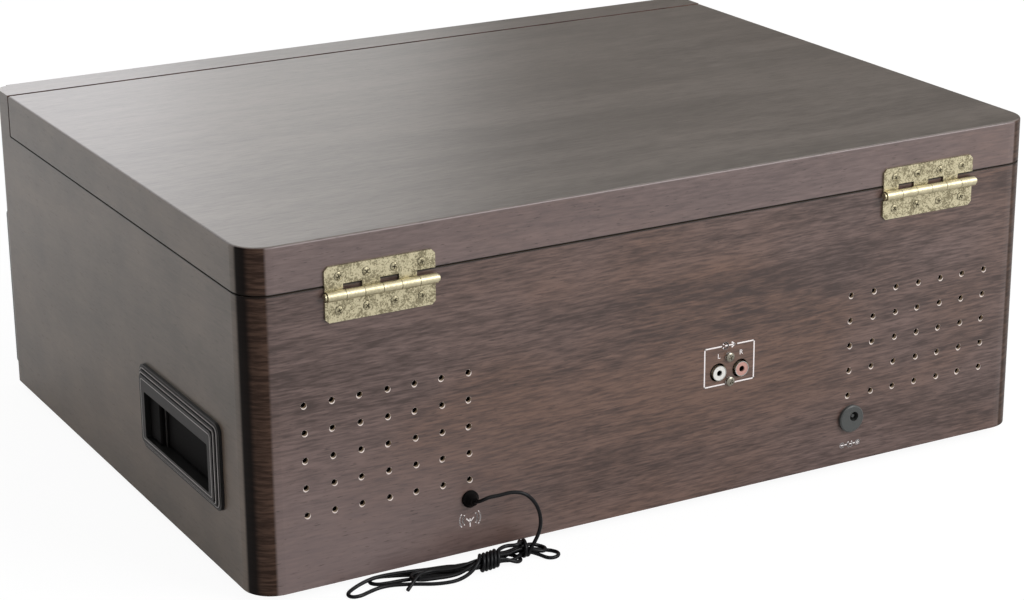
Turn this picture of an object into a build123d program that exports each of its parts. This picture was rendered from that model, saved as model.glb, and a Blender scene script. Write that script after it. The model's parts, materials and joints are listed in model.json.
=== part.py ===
from build123d import *
import math
import os

# Stereo music centre: record deck under a hinged lid, radio, disc drawer and side cassette slot.
# Millimetres.  X runs across the cabinet, -Y is the front, +Y the back, +Z is up.
# Every piece is modelled about the cabinet's middle, and the whole is moved by ROW_SHIFT at the end,
# so that the origin lies on the floor under the middle of the box that holds all of it.

# ---------------------------------------------------------------- cabinet
CAB_W = 475.0            # across
CAB_D = 361.0            # front board face to back face
CAB_H = 181.0            # lower edge to lid top
WALL = 12.0              # side, back and lid skirt boards
CORNER_R = 16.0          # upright rear corners
FRONT_T = 22.0           # front board
FRONT_EDGE_R = 7.5       # upright front edges
FRONT_LIP = 2.0          # bead along the front board's top edge
FRONT_LIP_H = 5.0
BOTTOM_T = 9.0
BOTTOM_RECESS = 3.0
FOOT_H = 5.0             # how far the feet stand below the cabinet
FOOT_R = 12.0
FOOT_INSET = 42.0
LID_H = 24.0
LID_GAP = 0.8            # parting line between body and lid
LID_TOP_T = 8.0
LID_EDGE_R = 1.2
SEAM = 1.5               # between the front board and the lid
FIT = 0.3                # clearance round pieces that drop in
RUN = 0.05               # radial clearance of turning pieces
SHANK_FIT = 0.1          # radial clearance of a screw in its pilot hole

# ---------------------------------------------------------------- fascia
FASCIA_W = 470.0
FASCIA_T = 3.5
FASCIA_LOW = 6.0         # above the cabinet's lower edge
FASCIA_HIGH = 107.0
FASCIA_R = 5.0
CONTROL_W = 214.0        # window in the front board behind the controls
CONTROL_EDGE = 5.0       # how far the fascia laps over that window, above and below
SPEAKER_X = CAB_W / 2 - 67.5
GRILLE_W, GRILLE_H, GRILLE_R = 112.0, 84.0, 9.0
GRILLE_PROUD = 2.0
SPEAKER_R = 44.0         # driver flange
SPEAKER_HOLE_R = 36.0
SPEAKER_DEPTH = 34.0
DIAL_Z = 81.0            # heights above the cabinet's lower edge
DIAL_W, DIAL_H, DIAL_R = 140.0, 30.0, 3.0
WINDOW_T = 3.0
DIAL_PLATE_T = 2.0
DIAL_PLATE_BACK = 11.5   # behind the front board's face
RAIL_R = 1.0
POINTER_TRAVEL = 55.0    # each way
KNOB_X = 90.0
KNOB_R, KNOB_LEN = 14.0, 15.0
FUNCTION_Z, FUNCTION_R, FUNCTION_LEN = 37.0, 11.0, 12.0
STEM_R = 3.0
KNOB_GAP = 1.0           # between a knob and the fascia
POT_R, POT_LEN = 8.5, 8.0
BOARD_T = 1.6
CONTROL_BOARD_BACK = 14.0
DRAWER_Z = 53.0
DRAWER_W, DRAWER_H = 136.0, 15.0
TRAY_T, TRAY_LEN = 5.0, 150.0
DRAWER_TRAVEL = 125.0
DISC_R = 60.5
LOADER_LEN, LOADER_WALL = 165.0, 1.2
BUTTON_Z, BUTTON_W, BUTTON_H = 25.0, 18.0, 8.0
BUTTON_XS = (-33.0, 0.0, 33.0)
POWER_Z, POWER_W, POWER_H = 37.0, 14.0, 12.0
BUTTON_PROUD, BUTTON_TRAVEL = 2.5, 2.0
PHONES_Z, PHONES_R = 18.0, 5.5
PHONES_BORE_R = 1.8

# ---------------------------------------------------------------- record deck
DECK_DROP = 18.0         # deck face below the body's top edge
DECK_T = 3.0
DECK_LIP = 2.0
RAIL_W = 10.0
WELL_R, WELL_DEPTH = 115.0, 6.0
SPINDLE_X, SPINDLE_Y = -62.0, 4.0
PLATTER_R, PLATTER_H = 110.0, 12.0
PLATTER_LIFT = 1.5       # platter above the well floor
DRUM_R = 75.0
MAT_T = 2.0
RECORD_T = 1.5
SPINDLE_R = 3.57
BEARING_R = 4.0
PULLEY_R = 7.5
PULLEY_REACH = 92.0
PULLEY_ANGLE = 225.0
BELT_T, BELT_H = 1.0, 4.0
MOTOR_R, MOTOR_H = 17.0, 26.0
ARM_LEN = 195.0          # pivot to stylus
ARM_X = SPINDLE_X + ARM_LEN * 0.8615     # the stylus overhangs the pin by 12 mm
ARM_Y = SPINDLE_Y + ARM_LEN * 0.3723
ARM_R = 4.0
ARM_ABOVE_RECORD = 11.5
YOKE_SHAFT_R = 5.0
REST_REACH = 120.0
CUE_LEN = 25.0
SPEED_X, SPEED_Y, SPEED_TRAVEL = CAB_W / 2 - 52.5, -78.0, 14.0

# ---------------------------------------------------------------- back
HINGE_X = 166.0
HINGE_W = 60.0
LEAF_T = 1.2
LEAF_LOW, LEAF_HIGH = 14.0, 14.5      # reach of the leaves below and above the pin
BARREL_R, PIN_R = 2.6, 1.1
KNUCKLES = 6
KNUCKLE_GAP = 0.3
HINGE_DROP = 4.2         # pin below the body's top edge
LID_OPEN = 75.0
SCREW_HEAD_R, SCREW_SHANK_R, SCREW_LEN = 2.2, 1.2, 9.0
SCREWS_PER_LEAF = 4
VENT_X0, VENT_PITCH_X, VENT_COLS = CAB_W / 2 - 119.5, 15.1, 7
VENT_Z0, VENT_PITCH_Z, VENT_ROWS = 40.0, 14.5, 5
VENT_R = 1.6
LINE_X, LINE_Z, LINE_PITCH = -39.4, 69.4, 14.2
LINE_WALL = 9.0           # board left in front of the socket block
LINE_HOLE_R = 5.2         # holes in that board that the sockets stand in
SLEEVE_R, SLEEVE_WALL = 4.15, 0.35
SLEEVE_NECK_R = 3.85      # in front of the step that a plug stops at
SLEEVE_STEP = 0.5         # from the block's face to that step
SLEEVE_PROUD = 1.5
BLOCK_T = 5.0             # socket block, from the thinned wall inwards
CORE_HEAD_R, CORE_HEAD = 3.8, 1.0     # wide mouth of the coloured insulator
DC_X, DC_Z, DC_R = -120.2, 26.0, 7.8
DC_BORE_R, DC_PIN_R, DC_BORE_DEPTH = 2.75, 1.0, 9.0
DC_BORE_SHIFT = (-1.2, 1.4)           # bore's middle from the flange's
REAR_MOST = 8.0           # room that plugs and gland take behind the back
GLAND_X, GLAND_Z = 118.0, 29.3
GLAND_R, GLAND_PROUD = 4.6, 5.0
WIRE_R = 1.0

# ---------------------------------------------------------------- cassette side
CAS_Y, CAS_Z = 92.0, 57.5
BEZEL_W, BEZEL_H, BEZEL_R = 106.0, 47.0, 5.0
BEZEL_PROUD = 4.0
SLOT_W, SLOT_H = 85.0, 26.0
SLOT_DROP = 2.5          # slot middle below the bezel's middle
KEY_W = 14.0
DIVIDER = 2.0
FLAP_T, FLAP_BACK = 1.6, 2.0
FLAP_PIN_R = 1.0
FLAP_OPEN = 70.0
KEY_TRAVEL = 5.0
CHASSIS_LEN, CHASSIS_WALL = 118.0, 1.2

# ---------------------------------------------------------------- lid stay
STAY_ARM = 72.0          # equal to the pivot's distance from the hinge pin
STAY_T, STAY_W = 2.0, 8.0
STAY_PIVOT_R, STAY_PIN_R = 2.5, 2.0
SLOT_CLEAR = 0.3

# ---------------------------------------------------------------- derived places
HALF_W = CAB_W / 2
Y_FRONT = -CAB_D / 2
Y_BACK = CAB_D / 2
Y_INNER = Y_FRONT + FRONT_T
X_INNER = HALF_W - WALL
Y_BACK_IN = Y_BACK - WALL
Z_LOW = FOOT_H
Z_TOP = FOOT_H + CAB_H
Z_LID = Z_TOP - LID_H
Z_RIM = Z_LID - LID_GAP
Z_FLOOR = Z_LOW + BOTTOM_RECESS + BOTTOM_T
Y_FASCIA = Y_FRONT - FASCIA_T
Y_BOARD = Y_FRONT + CONTROL_BOARD_BACK
CONTROL_LOW = Z_LOW + FASCIA_LOW + CONTROL_EDGE
CONTROL_HIGH = Z_LOW + FASCIA_HIGH - CONTROL_EDGE
Y_KNOB_BACK = Y_FASCIA - KNOB_GAP
Z_DECK = Z_RIM - DECK_DROP
Z_WELL = Z_DECK - WELL_DEPTH
Z_PLATTER = Z_WELL + PLATTER_LIFT
Z_MAT = Z_PLATTER + PLATTER_H + MAT_T
Z_STYLUS = Z_MAT + RECORD_T
Z_ARM = Z_STYLUS + ARM_ABOVE_RECORD
PULLEY_X = SPINDLE_X + PULLEY_REACH * math.cos(math.radians(PULLEY_ANGLE))
PULLEY_Y = SPINDLE_Y + PULLEY_REACH * math.sin(math.radians(PULLEY_ANGLE))
LEAF_RELIEF = 0.3
PIN_Y = Y_BACK + LEAF_RELIEF + BARREL_R
PIN_Z = Z_RIM - HINGE_DROP
STAY_Y = PIN_Y - STAY_ARM
X_TRACK = X_INNER - 6.9            # inner face of the stay's track plate
X_STAY = X_TRACK + STAY_T + 0.6    # inner face of the stay arm
SLOT_Y = CAS_Y
SLOT_Z = Z_LOW + CAS_Z - SLOT_DROP
KEY_Y = CAS_Y - SLOT_W / 2 + 1.0 + KEY_W / 2
FLAP_Y0 = KEY_Y + KEY_W / 2 + DIVIDER + 2 * 1.0
FLAP_Y1 = CAS_Y + SLOT_W / 2
FRONT_MOST = FASCIA_T + KNOB_GAP + KNOB_LEN
ROW_SHIFT = (FRONT_MOST - REAR_MOST) / 2


# ---------------------------------------------------------------- making shapes
def block(x, y, z):
    """Box between two corners, given as (low, high) pairs."""
    spans = (x, y, z)
    middle = [(low + high) / 2 for low, high in spans]
    sides = [high - low for low, high in spans]
    return Pos(*middle) * Box(*sides)


def rod(start, direction, length, radius):
    """Cylinder from a point along a direction."""
    upright = Cylinder(radius, length, align=(Align.CENTER, Align.CENTER, Align.MIN))
    return Plane(origin=start, z_dir=direction) * upright


def turned(profile, start, direction=(0, 0, 1)):
    """Solid of revolution from (radius, height) points, set on a point along a direction."""
    face = Plane.XZ * make_face(Polyline(*profile, close=True))
    return Plane(origin=start, z_dir=direction) * revolve(face, Axis.Z)


def facing_plate(x, z, width, height, radius, y_front, y_back):
    """Round-cornered plate square to Y."""
    plane = Plane(origin=(x, y_back, z), x_dir=(1, 0, 0), z_dir=(0, -1, 0))
    return extrude(plane * RectangleRounded(width, height, radius), y_back - y_front)


def side_plate(y, z, width, height, radius, x_in, x_out):
    """Round-cornered plate square to X."""
    plane = Plane(origin=(x_in, y, z), x_dir=(0, 1, 0), z_dir=(1, 0, 0))
    return extrude(plane * RectangleRounded(width, height, radius), x_out - x_in)


def upright_rear_edges(solid):
    return solid.edges().filter_by(Axis.Z).group_by(Axis.Y)[-1]


def fuse(pieces):
    whole = pieces[0]
    for piece in pieces[1:]:
        whole = whole + piece
    return whole


def both_sides(x):
    return (-x, x)


# ---------------------------------------------------------------- screws in wood
def wood_screw(head_centre, outward):
    """Countersunk screw, its head standing a little proud of a face."""
    head = SCREW_HEAD_R
    shank = SCREW_SHANK_R
    profile = [(0, -SCREW_LEN), (shank * 0.4, -SCREW_LEN), (shank, -SCREW_LEN + 2),
               (shank, -LEAF_T), (head, -0.1), (head * 0.8, 0.3), (0, 0.5)]
    return turned(profile, head_centre, outward)


def screw_hole(head_centre, outward):
    deep = [-value for value in outward]
    return rod(head_centre, deep, SCREW_LEN + 1, SCREW_SHANK_R + SHANK_FIT)


def leaf_screw_points(z):
    """Heads of one row of screws across both hinges."""
    pitch = HINGE_W / SCREWS_PER_LEAF
    points = []
    for hinge_x in both_sides(HINGE_X):
        for number in range(SCREWS_PER_LEAF):
            x = hinge_x + (number - (SCREWS_PER_LEAF - 1) / 2) * pitch
            points.append((x, Y_BACK + LEAF_T, z))
    return points


Z_LOWER_SCREWS = PIN_Z - BARREL_R - (LEAF_LOW - BARREL_R) / 2
Z_UPPER_SCREWS = PIN_Z + BARREL_R + (LEAF_HIGH - BARREL_R) / 2 + 0.6


# ---------------------------------------------------------------- cabinet boards
def vents():
    """Two grids of drilled holes through the back."""
    holes = []
    for side in (-1, 1):
        for column in range(VENT_COLS):
            for row in range(VENT_ROWS):
                x = side * (VENT_X0 + column * VENT_PITCH_X)
                z = Z_LOW + VENT_Z0 + row * VENT_PITCH_Z
                holes.append(rod((x, Y_BACK_IN - 1, z), (0, 1, 0), WALL + 2, VENT_R))
    return holes


def line_points():
    z = Z_LOW + LINE_Z
    return [(LINE_X + side * LINE_PITCH / 2, z) for side in (-1, 1)]


LINE_SCREWS = [(LINE_X + 0.4, Z_LOW + LINE_Z + 7.9), (LINE_X, Z_LOW + LINE_Z - 5.9)]


def cabinet_shell():
    """Sides and back in one wrap, open to the front, top and bottom."""
    outer = block((-HALF_W, HALF_W), (Y_INNER, Y_BACK), (Z_LOW, Z_RIM))
    outer = fillet(upright_rear_edges(outer), CORNER_R)
    inner = block((-X_INNER, X_INNER), (Y_INNER - 1, Y_BACK_IN), (Z_LOW - 1, Z_RIM + 1))
    inner = fillet(upright_rear_edges(inner), CORNER_R - WALL)
    shell = outer - inner - vents()
    pocket = block((LINE_X - 20, LINE_X + 20), (Y_BACK_IN - 1, Y_BACK - LINE_WALL),
                   (Z_LOW + LINE_Z - 12, Z_LOW + LINE_Z + 15))
    shell = shell - pocket
    for x, z in line_points():
        shell = shell - rod((x, Y_BACK_IN, z), (0, 1, 0), WALL + 1, LINE_HOLE_R)
    for x, z in LINE_SCREWS:
        shell = shell - rod((x, Y_BACK_IN, z), (0, 1, 0), WALL + 1, 1.0 + SHANK_FIT)
    shell = shell - rod((DC_X, Y_BACK_IN - 1, Z_LOW + DC_Z), (0, 1, 0), WALL + 2, DC_R - 2)
    shell = shell - rod((GLAND_X, Y_BACK_IN - 1, Z_LOW + GLAND_Z), (0, 1, 0), WALL + 2, GLAND_R - 1)
    shell = shell - side_plate(SLOT_Y, SLOT_Z, SLOT_W + 5, SLOT_H + 5, 2.5, X_INNER - 1, HALF_W + 1)
    for point in leaf_screw_points(Z_LOWER_SCREWS):
        shell = shell - screw_hole(point, (0, 1, 0))
    return shell


def bottom_board():
    """Base panel let into the walls, screwed up from below."""
    board = block((-X_INNER + FIT, X_INNER - FIT), (Y_INNER + FIT, Y_BACK_IN - FIT),
                  (Z_LOW + BOTTOM_RECESS, Z_FLOOR))
    return fillet(upright_rear_edges(board), CORNER_R - WALL)


def foot_points():
    x = HALF_W - FOOT_INSET
    y = CAB_D / 2 - FOOT_INSET
    return [(sx * x, sy * y) for sx in (-1, 1) for sy in (-1, 1)]


def rubber_feet():
    """Tapered feet with a recess for their screw."""
    height = FOOT_H + BOTTOM_RECESS
    profile = [(4, 3), (4, 0), (FOOT_R - 2, 0), (FOOT_R - 1, 1), (FOOT_R, height), (2, height), (2, 3)]
    return [turned(profile, (x, y, 0)) for x, y in foot_points()]


def case_screws():
    """Screws that hold the feet to the base and the deck to its rails."""
    screws = []
    for x, y in foot_points():
        profile = [(0, 1), (3.6, 1), (3.6, 3), (1.7, 3), (1.7, 8), (0, 8)]
        screws.append(turned(profile, (x, y, 0)))
    for x, y in deck_screw_points():
        profile = [(0, -2.5), (1.5, -2.5), (1.5, 0), (3, 0), (2.4, 1.3), (0, 1.5)]
        screws.append(turned(profile, (x, y, Z_DECK)))
    return screws


def front_board():
    """Thick front with a bead along its top edge, two speaker holes and a control window."""
    board = block((-HALF_W, HALF_W), (Y_FRONT, Y_INNER), (Z_LOW, Z_TOP))
    board = fillet(board.edges().filter_by(Axis.Z).group_by(Axis.Y)[0], FRONT_EDGE_R)
    bead = block((-HALF_W + FRONT_EDGE_R, HALF_W - FRONT_EDGE_R), (Y_FRONT - FRONT_LIP, Y_FRONT),
                 (Z_TOP - FRONT_LIP_H, Z_TOP))
    window = block((-CONTROL_W / 2, CONTROL_W / 2), (Y_FRONT - 1, Y_INNER + 1), (CONTROL_LOW, CONTROL_HIGH))
    board = board + bead - window
    for x in both_sides(SPEAKER_X):
        board = board - rod((x, Y_FRONT - 1, GRILLE_Z), (0, 1, 0), FRONT_T + 2, SPEAKER_HOLE_R)
    return board


GRILLE_Z = Z_LOW + (FASCIA_LOW + FASCIA_HIGH) / 2


# ---------------------------------------------------------------- fascia and controls
def fascia_slot(x, z, width, height, radius):
    return facing_plate(x, z, width, height, radius, Y_FASCIA - 1, Y_FRONT + 1)


def fascia_hole(x, z, radius):
    return rod((x, Y_FASCIA - 1, z), (0, 1, 0), FASCIA_T + 2, radius)


def front_fascia():
    """Thin full-width panel with its windows, slots and control holes."""
    height = FASCIA_HIGH - FASCIA_LOW
    panel = facing_plate(0, GRILLE_Z, FASCIA_W, height, FASCIA_R, Y_FASCIA, Y_FRONT)
    cuts = [fascia_slot(x, GRILLE_Z, GRILLE_W, GRILLE_H, GRILLE_R) for x in both_sides(SPEAKER_X)]
    cuts.append(fascia_slot(0, Z_LOW + DIAL_Z, DIAL_W, DIAL_H, DIAL_R))
    cuts.append(fascia_slot(0, Z_LOW + DRAWER_Z, DRAWER_W, DRAWER_H, 2))
    for x in BUTTON_XS:
        cuts.append(fascia_slot(x, Z_LOW + BUTTON_Z, BUTTON_W + 2 * FIT, BUTTON_H + 2 * FIT, 2))
    cuts.append(fascia_slot(-KNOB_X, Z_LOW + POWER_Z, POWER_W + 2 * FIT, POWER_H + 2 * FIT, 2))
    for x in both_sides(KNOB_X):
        cuts.append(fascia_hole(x, Z_LOW + DIAL_Z, STEM_R + 1))
    cuts.append(fascia_hole(KNOB_X, Z_LOW + FUNCTION_Z, STEM_R + 1))
    cuts.append(fascia_hole(-KNOB_X, Z_LOW + PHONES_Z, PHONES_R - 1.5))
    return panel - cuts


def speaker_grilles():
    """Cloth-covered frames that stand a little proud of the fascia."""
    grilles = []
    for x in both_sides(SPEAKER_X):
        width, height = GRILLE_W - 2 * FIT, GRILLE_H - 2 * FIT
        grille = facing_plate(x, GRILLE_Z, width, height, GRILLE_R - FIT, Y_FASCIA - GRILLE_PROUD, Y_FRONT)
        rim = grille.faces().sort_by(Axis.Y)[0].edges()
        grilles.append(fillet(rim, 1.4))
    return grilles


def speaker_baskets():
    """Driver frames with their magnets, behind the front board."""
    rear = SPEAKER_DEPTH
    mouth = SPEAKER_HOLE_R + 0.5
    profile = [(0, rear - 14), (mouth - 12, rear - 14), (mouth, 3), (mouth, 0), (SPEAKER_R, 0), (SPEAKER_R, 2),
               (mouth + 2, 3), (mouth - 9.5, rear - 14), (mouth - 5.5, rear - 14), (mouth - 5.5, rear), (0, rear)]
    return [turned(profile, (x, Y_INNER, GRILLE_Z), (0, 1, 0)) for x in both_sides(SPEAKER_X)]


def speaker_cones():
    """Paper cones with a rolled surround, dust cap and voice coil former."""
    mouth = SPEAKER_HOLE_R + 0.2
    coil = SPEAKER_DEPTH - 14.2
    profile = [(0, 7), (6, 8.2), (9, 10), (mouth - 3.2, 2.5), (mouth - 1.5, 1.2), (mouth, 1.6), (mouth, 2.4),
               (mouth - 2.7, 3.7), (9.5, 12), (9.5, coil), (8.7, coil), (8.7, 11.2), (0, 8.2)]
    return [turned(profile, (x, Y_INNER, GRILLE_Z), (0, 1, 0)) for x in both_sides(SPEAKER_X)]


def dial_window():
    """Clear lens set flush in the fascia."""
    edge = 0.2
    return facing_plate(0, Z_LOW + DIAL_Z, DIAL_W - edge, DIAL_H - edge, DIAL_R, Y_FASCIA, Y_FASCIA + WINDOW_T)


Z_RAIL = Z_LOW + DIAL_Z + DIAL_H / 2 + 3.5
Y_RAIL = Y_FRONT + 5.5
Y_DIAL_PLATE = Y_FRONT + DIAL_PLATE_BACK


def dial_plate():
    """Scale plate on posts, with the rail that the pointer runs on."""
    z = Z_LOW + DIAL_Z
    plate = facing_plate(0, z, DIAL_W + 2, DIAL_H + 2, 2, Y_DIAL_PLATE - DIAL_PLATE_T, Y_DIAL_PLATE)
    pieces = [plate]
    for x in both_sides(DIAL_W / 2 - 6):
        pieces.append(rod((x, Y_DIAL_PLATE, z), (0, 1, 0), Y_BOARD - Y_DIAL_PLATE, 2))
    for x in both_sides(DIAL_W / 2 - 1):
        pieces.append(block((x - 1.5, x + 1.5), (Y_RAIL - 2, Y_DIAL_PLATE), (z + DIAL_H / 2 - 2, Z_RAIL + 2)))
    rail = rod((-DIAL_W / 2 + 1, Y_RAIL, Z_RAIL), (1, 0, 0), DIAL_W - 2, RAIL_R)
    return fuse(pieces + [rail])


def dial_pointer():
    """Needle hung from a slider on the rail."""
    slider = block((-4, 4), (Y_RAIL - 2, Y_RAIL + 2), (Z_RAIL - 2, Z_RAIL + 2))
    slider = slider - rod((-5, Y_RAIL, Z_RAIL), (1, 0, 0), 10, RAIL_R + RUN)
    needle = block((-0.7, 0.7), (Y_RAIL - 0.5, Y_RAIL + 0.5), (Z_RAIL - 2 - DIAL_H, Z_RAIL - 2))
    return slider + needle


def pot(x, z):
    """Control body on its board, bored for the knob's stem."""
    body = rod((x, Y_BOARD, z), (0, -1, 0), POT_LEN, POT_R)
    return body - rod((x, Y_BOARD - 1, z), (0, -1, 0), POT_LEN, STEM_R + RUN)


def board_posts(z_values):
    """Spacers from the fascia's back to a control board."""
    x = CONTROL_W / 2 - 4.5
    posts = []
    for side_x in both_sides(x):
        for z in z_values:
            posts.append(rod((side_x, Y_FRONT, z), (0, 1, 0), CONTROL_BOARD_BACK, 2.4))
    return posts


def control_boards():
    """Upper board with the volume and tuning controls, lower board with the keys' switches."""
    half = CONTROL_W / 2 - 2
    drawer_low = Z_LOW + DRAWER_Z - DRAWER_H / 2
    drawer_high = Z_LOW + DRAWER_Z + DRAWER_H / 2
    upper_z = (drawer_high + 4, CONTROL_HIGH - 1)
    lower_z = (CONTROL_LOW + 1, drawer_low - 1)
    upper = block((-half, half), (Y_BOARD, Y_BOARD + BOARD_T), upper_z)
    pots = [pot(x, Z_LOW + DIAL_Z) for x in both_sides(KNOB_X)]
    upper = fuse([upper] + pots + board_posts((upper_z[0] + 3, upper_z[1] - 3)))
    lower = block((-half, half), (Y_BOARD, Y_BOARD + BOARD_T), lower_z)
    lower = fuse([lower, pot(KNOB_X, Z_LOW + FUNCTION_Z)] + board_posts((lower_z[0] + 3, lower_z[1] - 3)))
    for x, z in switch_points():
        lower = lower + block((x - 3, x + 3), (SWITCH_FACE, Y_BOARD), (z - 3, z + 3))
    lower = lower - rod((-KNOB_X, Y_BOARD - 1, Z_LOW + PHONES_Z), (0, 1, 0), 4, 4.2)
    return [upper, lower]


SWITCH_FACE = Y_BOARD - 5


def switch_points():
    points = [(x, Z_LOW + BUTTON_Z) for x in BUTTON_XS]
    points.append((-KNOB_X, Z_LOW + POWER_Z))
    return points


def push_button(x, z, width, height):
    """Cap with a flange behind the fascia and a stem that reaches its switch."""
    cap = facing_plate(x, z, width, height, 1.6, Y_FASCIA - BUTTON_PROUD, Y_FRONT + FIT)
    cap = fillet(cap.faces().sort_by(Axis.Y)[0].edges(), 0.8)
    flange = facing_plate(x, z, width + 3, height + 3, 1.6, Y_FRONT + FIT, Y_FRONT + FIT + 1.2)
    stem_end = SWITCH_FACE - BUTTON_TRAVEL - FIT
    stem = rod((x, Y_FRONT, z), (0, 1, 0), stem_end - Y_FRONT, 2)
    return cap + flange + stem


def knob(x, z, radius, length):
    """Turned knob with a finger-gripped skirt, a line on its face and a stem to its control."""
    skirt = radius
    grip = radius - 2
    profile = [(0, 0), (skirt, 0), (skirt, 3), (grip, 4.5), (grip - 0.6, length - 1.2), (grip - 1.6, length),
               (grip - 3.4, length), (grip - 3.8, length - 0.8), (0, length - 0.8)]
    body = turned(profile, (x, Y_KNOB_BACK, z), (0, -1, 0))
    flutes = []
    for number in range(12):
        angle = math.radians(number * 30 + 15)
        start = (x + (grip + 0.6) * math.cos(angle), Y_KNOB_BACK - 4, z + (grip + 0.6) * math.sin(angle))
        flutes.append(rod(start, (0, -1, 0), length, 1.3))
    body = body - flutes
    mark = block((x - 0.6, x + 0.6), (Y_KNOB_BACK - length + 0.2, Y_KNOB_BACK - length + 1),
                 (z + grip - 8, z + grip - 4))
    stem_end = Y_BOARD - 1 - FIT
    stem = rod((x, Y_KNOB_BACK, z), (0, 1, 0), stem_end - Y_KNOB_BACK, STEM_R)
    return fuse([body, mark, stem])


def headphone_jack():
    """Small socket with a nut on the fascia, carried on the lower board."""
    body = rod((-KNOB_X, Y_FRONT, Z_LOW + PHONES_Z), (0, 1, 0), CONTROL_BOARD_BACK + 4, PHONES_R - 1.6)
    neck = rod((-KNOB_X, Y_FASCIA - 0.5, Z_LOW + PHONES_Z), (0, 1, 0), FASCIA_T + 1, PHONES_R - 1.6)
    nut = rod((-KNOB_X, Y_FASCIA, Z_LOW + PHONES_Z), (0, -1, 0), 1.2, PHONES_R)
    bore = rod((-KNOB_X, Y_FASCIA - 2, Z_LOW + PHONES_Z), (0, 1, 0), 14, PHONES_BORE_R)
    return fuse([body, neck, nut]) - bore


# ---------------------------------------------------------------- disc drawer
Z_TRAY = Z_LOW + DRAWER_Z - TRAY_T / 2


def cd_drawer():
    """Front bar with a tray that holds a disc."""
    front = facing_plate(0, Z_LOW + DRAWER_Z, DRAWER_W - 2 * FIT, DRAWER_H - 2 * FIT, 1.6,
                         Y_FASCIA - 1.5, Y_FRONT)
    half = DRAWER_W / 2 - 4
    tray = block((-half, half), (Y_FRONT, Y_FRONT + TRAY_LEN), (Z_TRAY, Z_TRAY + TRAY_T))
    disc_y = Y_FRONT + 5 + DISC_R
    recess = rod((0, disc_y, Z_TRAY + TRAY_T - 2.5), (0, 0, 1), 5, DISC_R)
    hub_slot = block((-17, 17), (disc_y - 17, Y_FRONT + TRAY_LEN - 14), (Z_TRAY - 1, Z_TRAY + TRAY_T + 1))
    return front + tray - recess - hub_slot


def cd_loader():
    """Folded metal case behind the front, with runners for the tray, on four pillars."""
    half = DRAWER_W / 2 + 4
    low, high = Z_TRAY - 9, Z_TRAY + TRAY_T + 14
    y0, y1 = Y_INNER + 1, Y_INNER + 1 + LOADER_LEN
    case = block((-half, half), (y0, y1), (low, high))
    inside = block((-half + LOADER_WALL, half - LOADER_WALL), (y0 - 1, y1 - LOADER_WALL),
                   (low + LOADER_WALL, high - LOADER_WALL))
    pieces = [case - inside]
    tray_half = DRAWER_W / 2 - 4
    for side in (-1, 1):
        inner, outer = tray_half - 4, half - LOADER_WALL
        x = sorted((side * inner, side * outer))
        pieces.append(block(x, (y0, y1 - LOADER_WALL), (low + LOADER_WALL, Z_TRAY - FIT)))
        for y in (y0 + 12, y1 - 12):
            pieces.append(rod((side * (half - 6), y, Z_FLOOR), (0, 0, 1), low - Z_FLOOR, 3.5))
    return fuse(pieces)


# ---------------------------------------------------------------- record deck
DECK_X = X_INNER - FIT
DECK_Y = (Y_INNER + FIT, Y_BACK_IN - FIT)


def deck_screw_points():
    x = X_INNER - RAIL_W / 2 - 1.5
    return [(side * x, y) for side in (-1, 1) for y in (Y_INNER + 22, 0, Y_BACK_IN - 22)]


def deck_plate():
    """Moulded deck with a raised edge, a round well for the platter and slots for its controls."""
    plate = block((-DECK_X, DECK_X), DECK_Y, (Z_DECK - DECK_T, Z_DECK + DECK_LIP))
    field = block((-DECK_X + 3, DECK_X - 3), (DECK_Y[0] + 3, DECK_Y[1] - 3), (Z_DECK, Z_DECK + DECK_LIP + 1))
    plate = fillet(upright_rear_edges(plate), CORNER_R - WALL)
    well_out = rod((SPINDLE_X, SPINDLE_Y, Z_WELL - DECK_T), (0, 0, 1), WELL_DEPTH, WELL_R + DECK_T)
    well_in = rod((SPINDLE_X, SPINDLE_Y, Z_WELL), (0, 0, 1), WELL_DEPTH + 5, WELL_R)
    deck = plate - field + well_out - well_in
    through = Z_WELL - DECK_T - 1
    tall = WELL_DEPTH + DECK_T + 4
    deck = deck - rod((SPINDLE_X, SPINDLE_Y, through), (0, 0, 1), tall, BEARING_R + 2 + SHANK_FIT)
    deck = deck - rod((PULLEY_X, PULLEY_Y, through), (0, 0, 1), tall, 3)
    deck = deck - rod((ARM_X, ARM_Y, through), (0, 0, 1), tall, YOKE_SHAFT_R + 4 + SHANK_FIT)
    slot = block((SPEED_X - 2.3, SPEED_X + 2.3), (SPEED_Y - 2.3, SPEED_Y + SPEED_TRAVEL + 2.3),
                 (through, Z_DECK + 1))
    deck = deck - slot
    for x, y in deck_screw_points():
        deck = deck - rod((x, y, through), (0, 0, 1), tall, 1.5 + SHANK_FIT)
    return deck


def deck_rails():
    """Wooden strips along the side walls that the deck is screwed to."""
    rails = []
    for side in (-1, 1):
        x = sorted((side * (X_INNER - RAIL_W), side * X_INNER))
        rail = block(x, (Y_INNER + 8, Y_BACK_IN - 8), (Z_DECK - DECK_T - RAIL_W, Z_DECK - DECK_T))
        rails.append(rail)
    return rails


def platter_spindle():
    """Bearing bush flanged on the well floor, with the record pin above."""
    top = Z_MAT - Z_WELL
    shoulder = PLATTER_LIFT + PLATTER_H + 0.5
    profile = [(0, -8), (BEARING_R + 2, -8), (BEARING_R + 2, 0), (BEARING_R + 6, 0), (BEARING_R + 6, 1.2),
               (BEARING_R, 1.2), (BEARING_R, shoulder), (SPINDLE_R, shoulder + 0.5), (SPINDLE_R, top + 7),
               (SPINDLE_R - 1.6, top + 9), (0, top + 9)]
    return turned(profile, (SPINDLE_X, SPINDLE_Y, Z_WELL))


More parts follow.
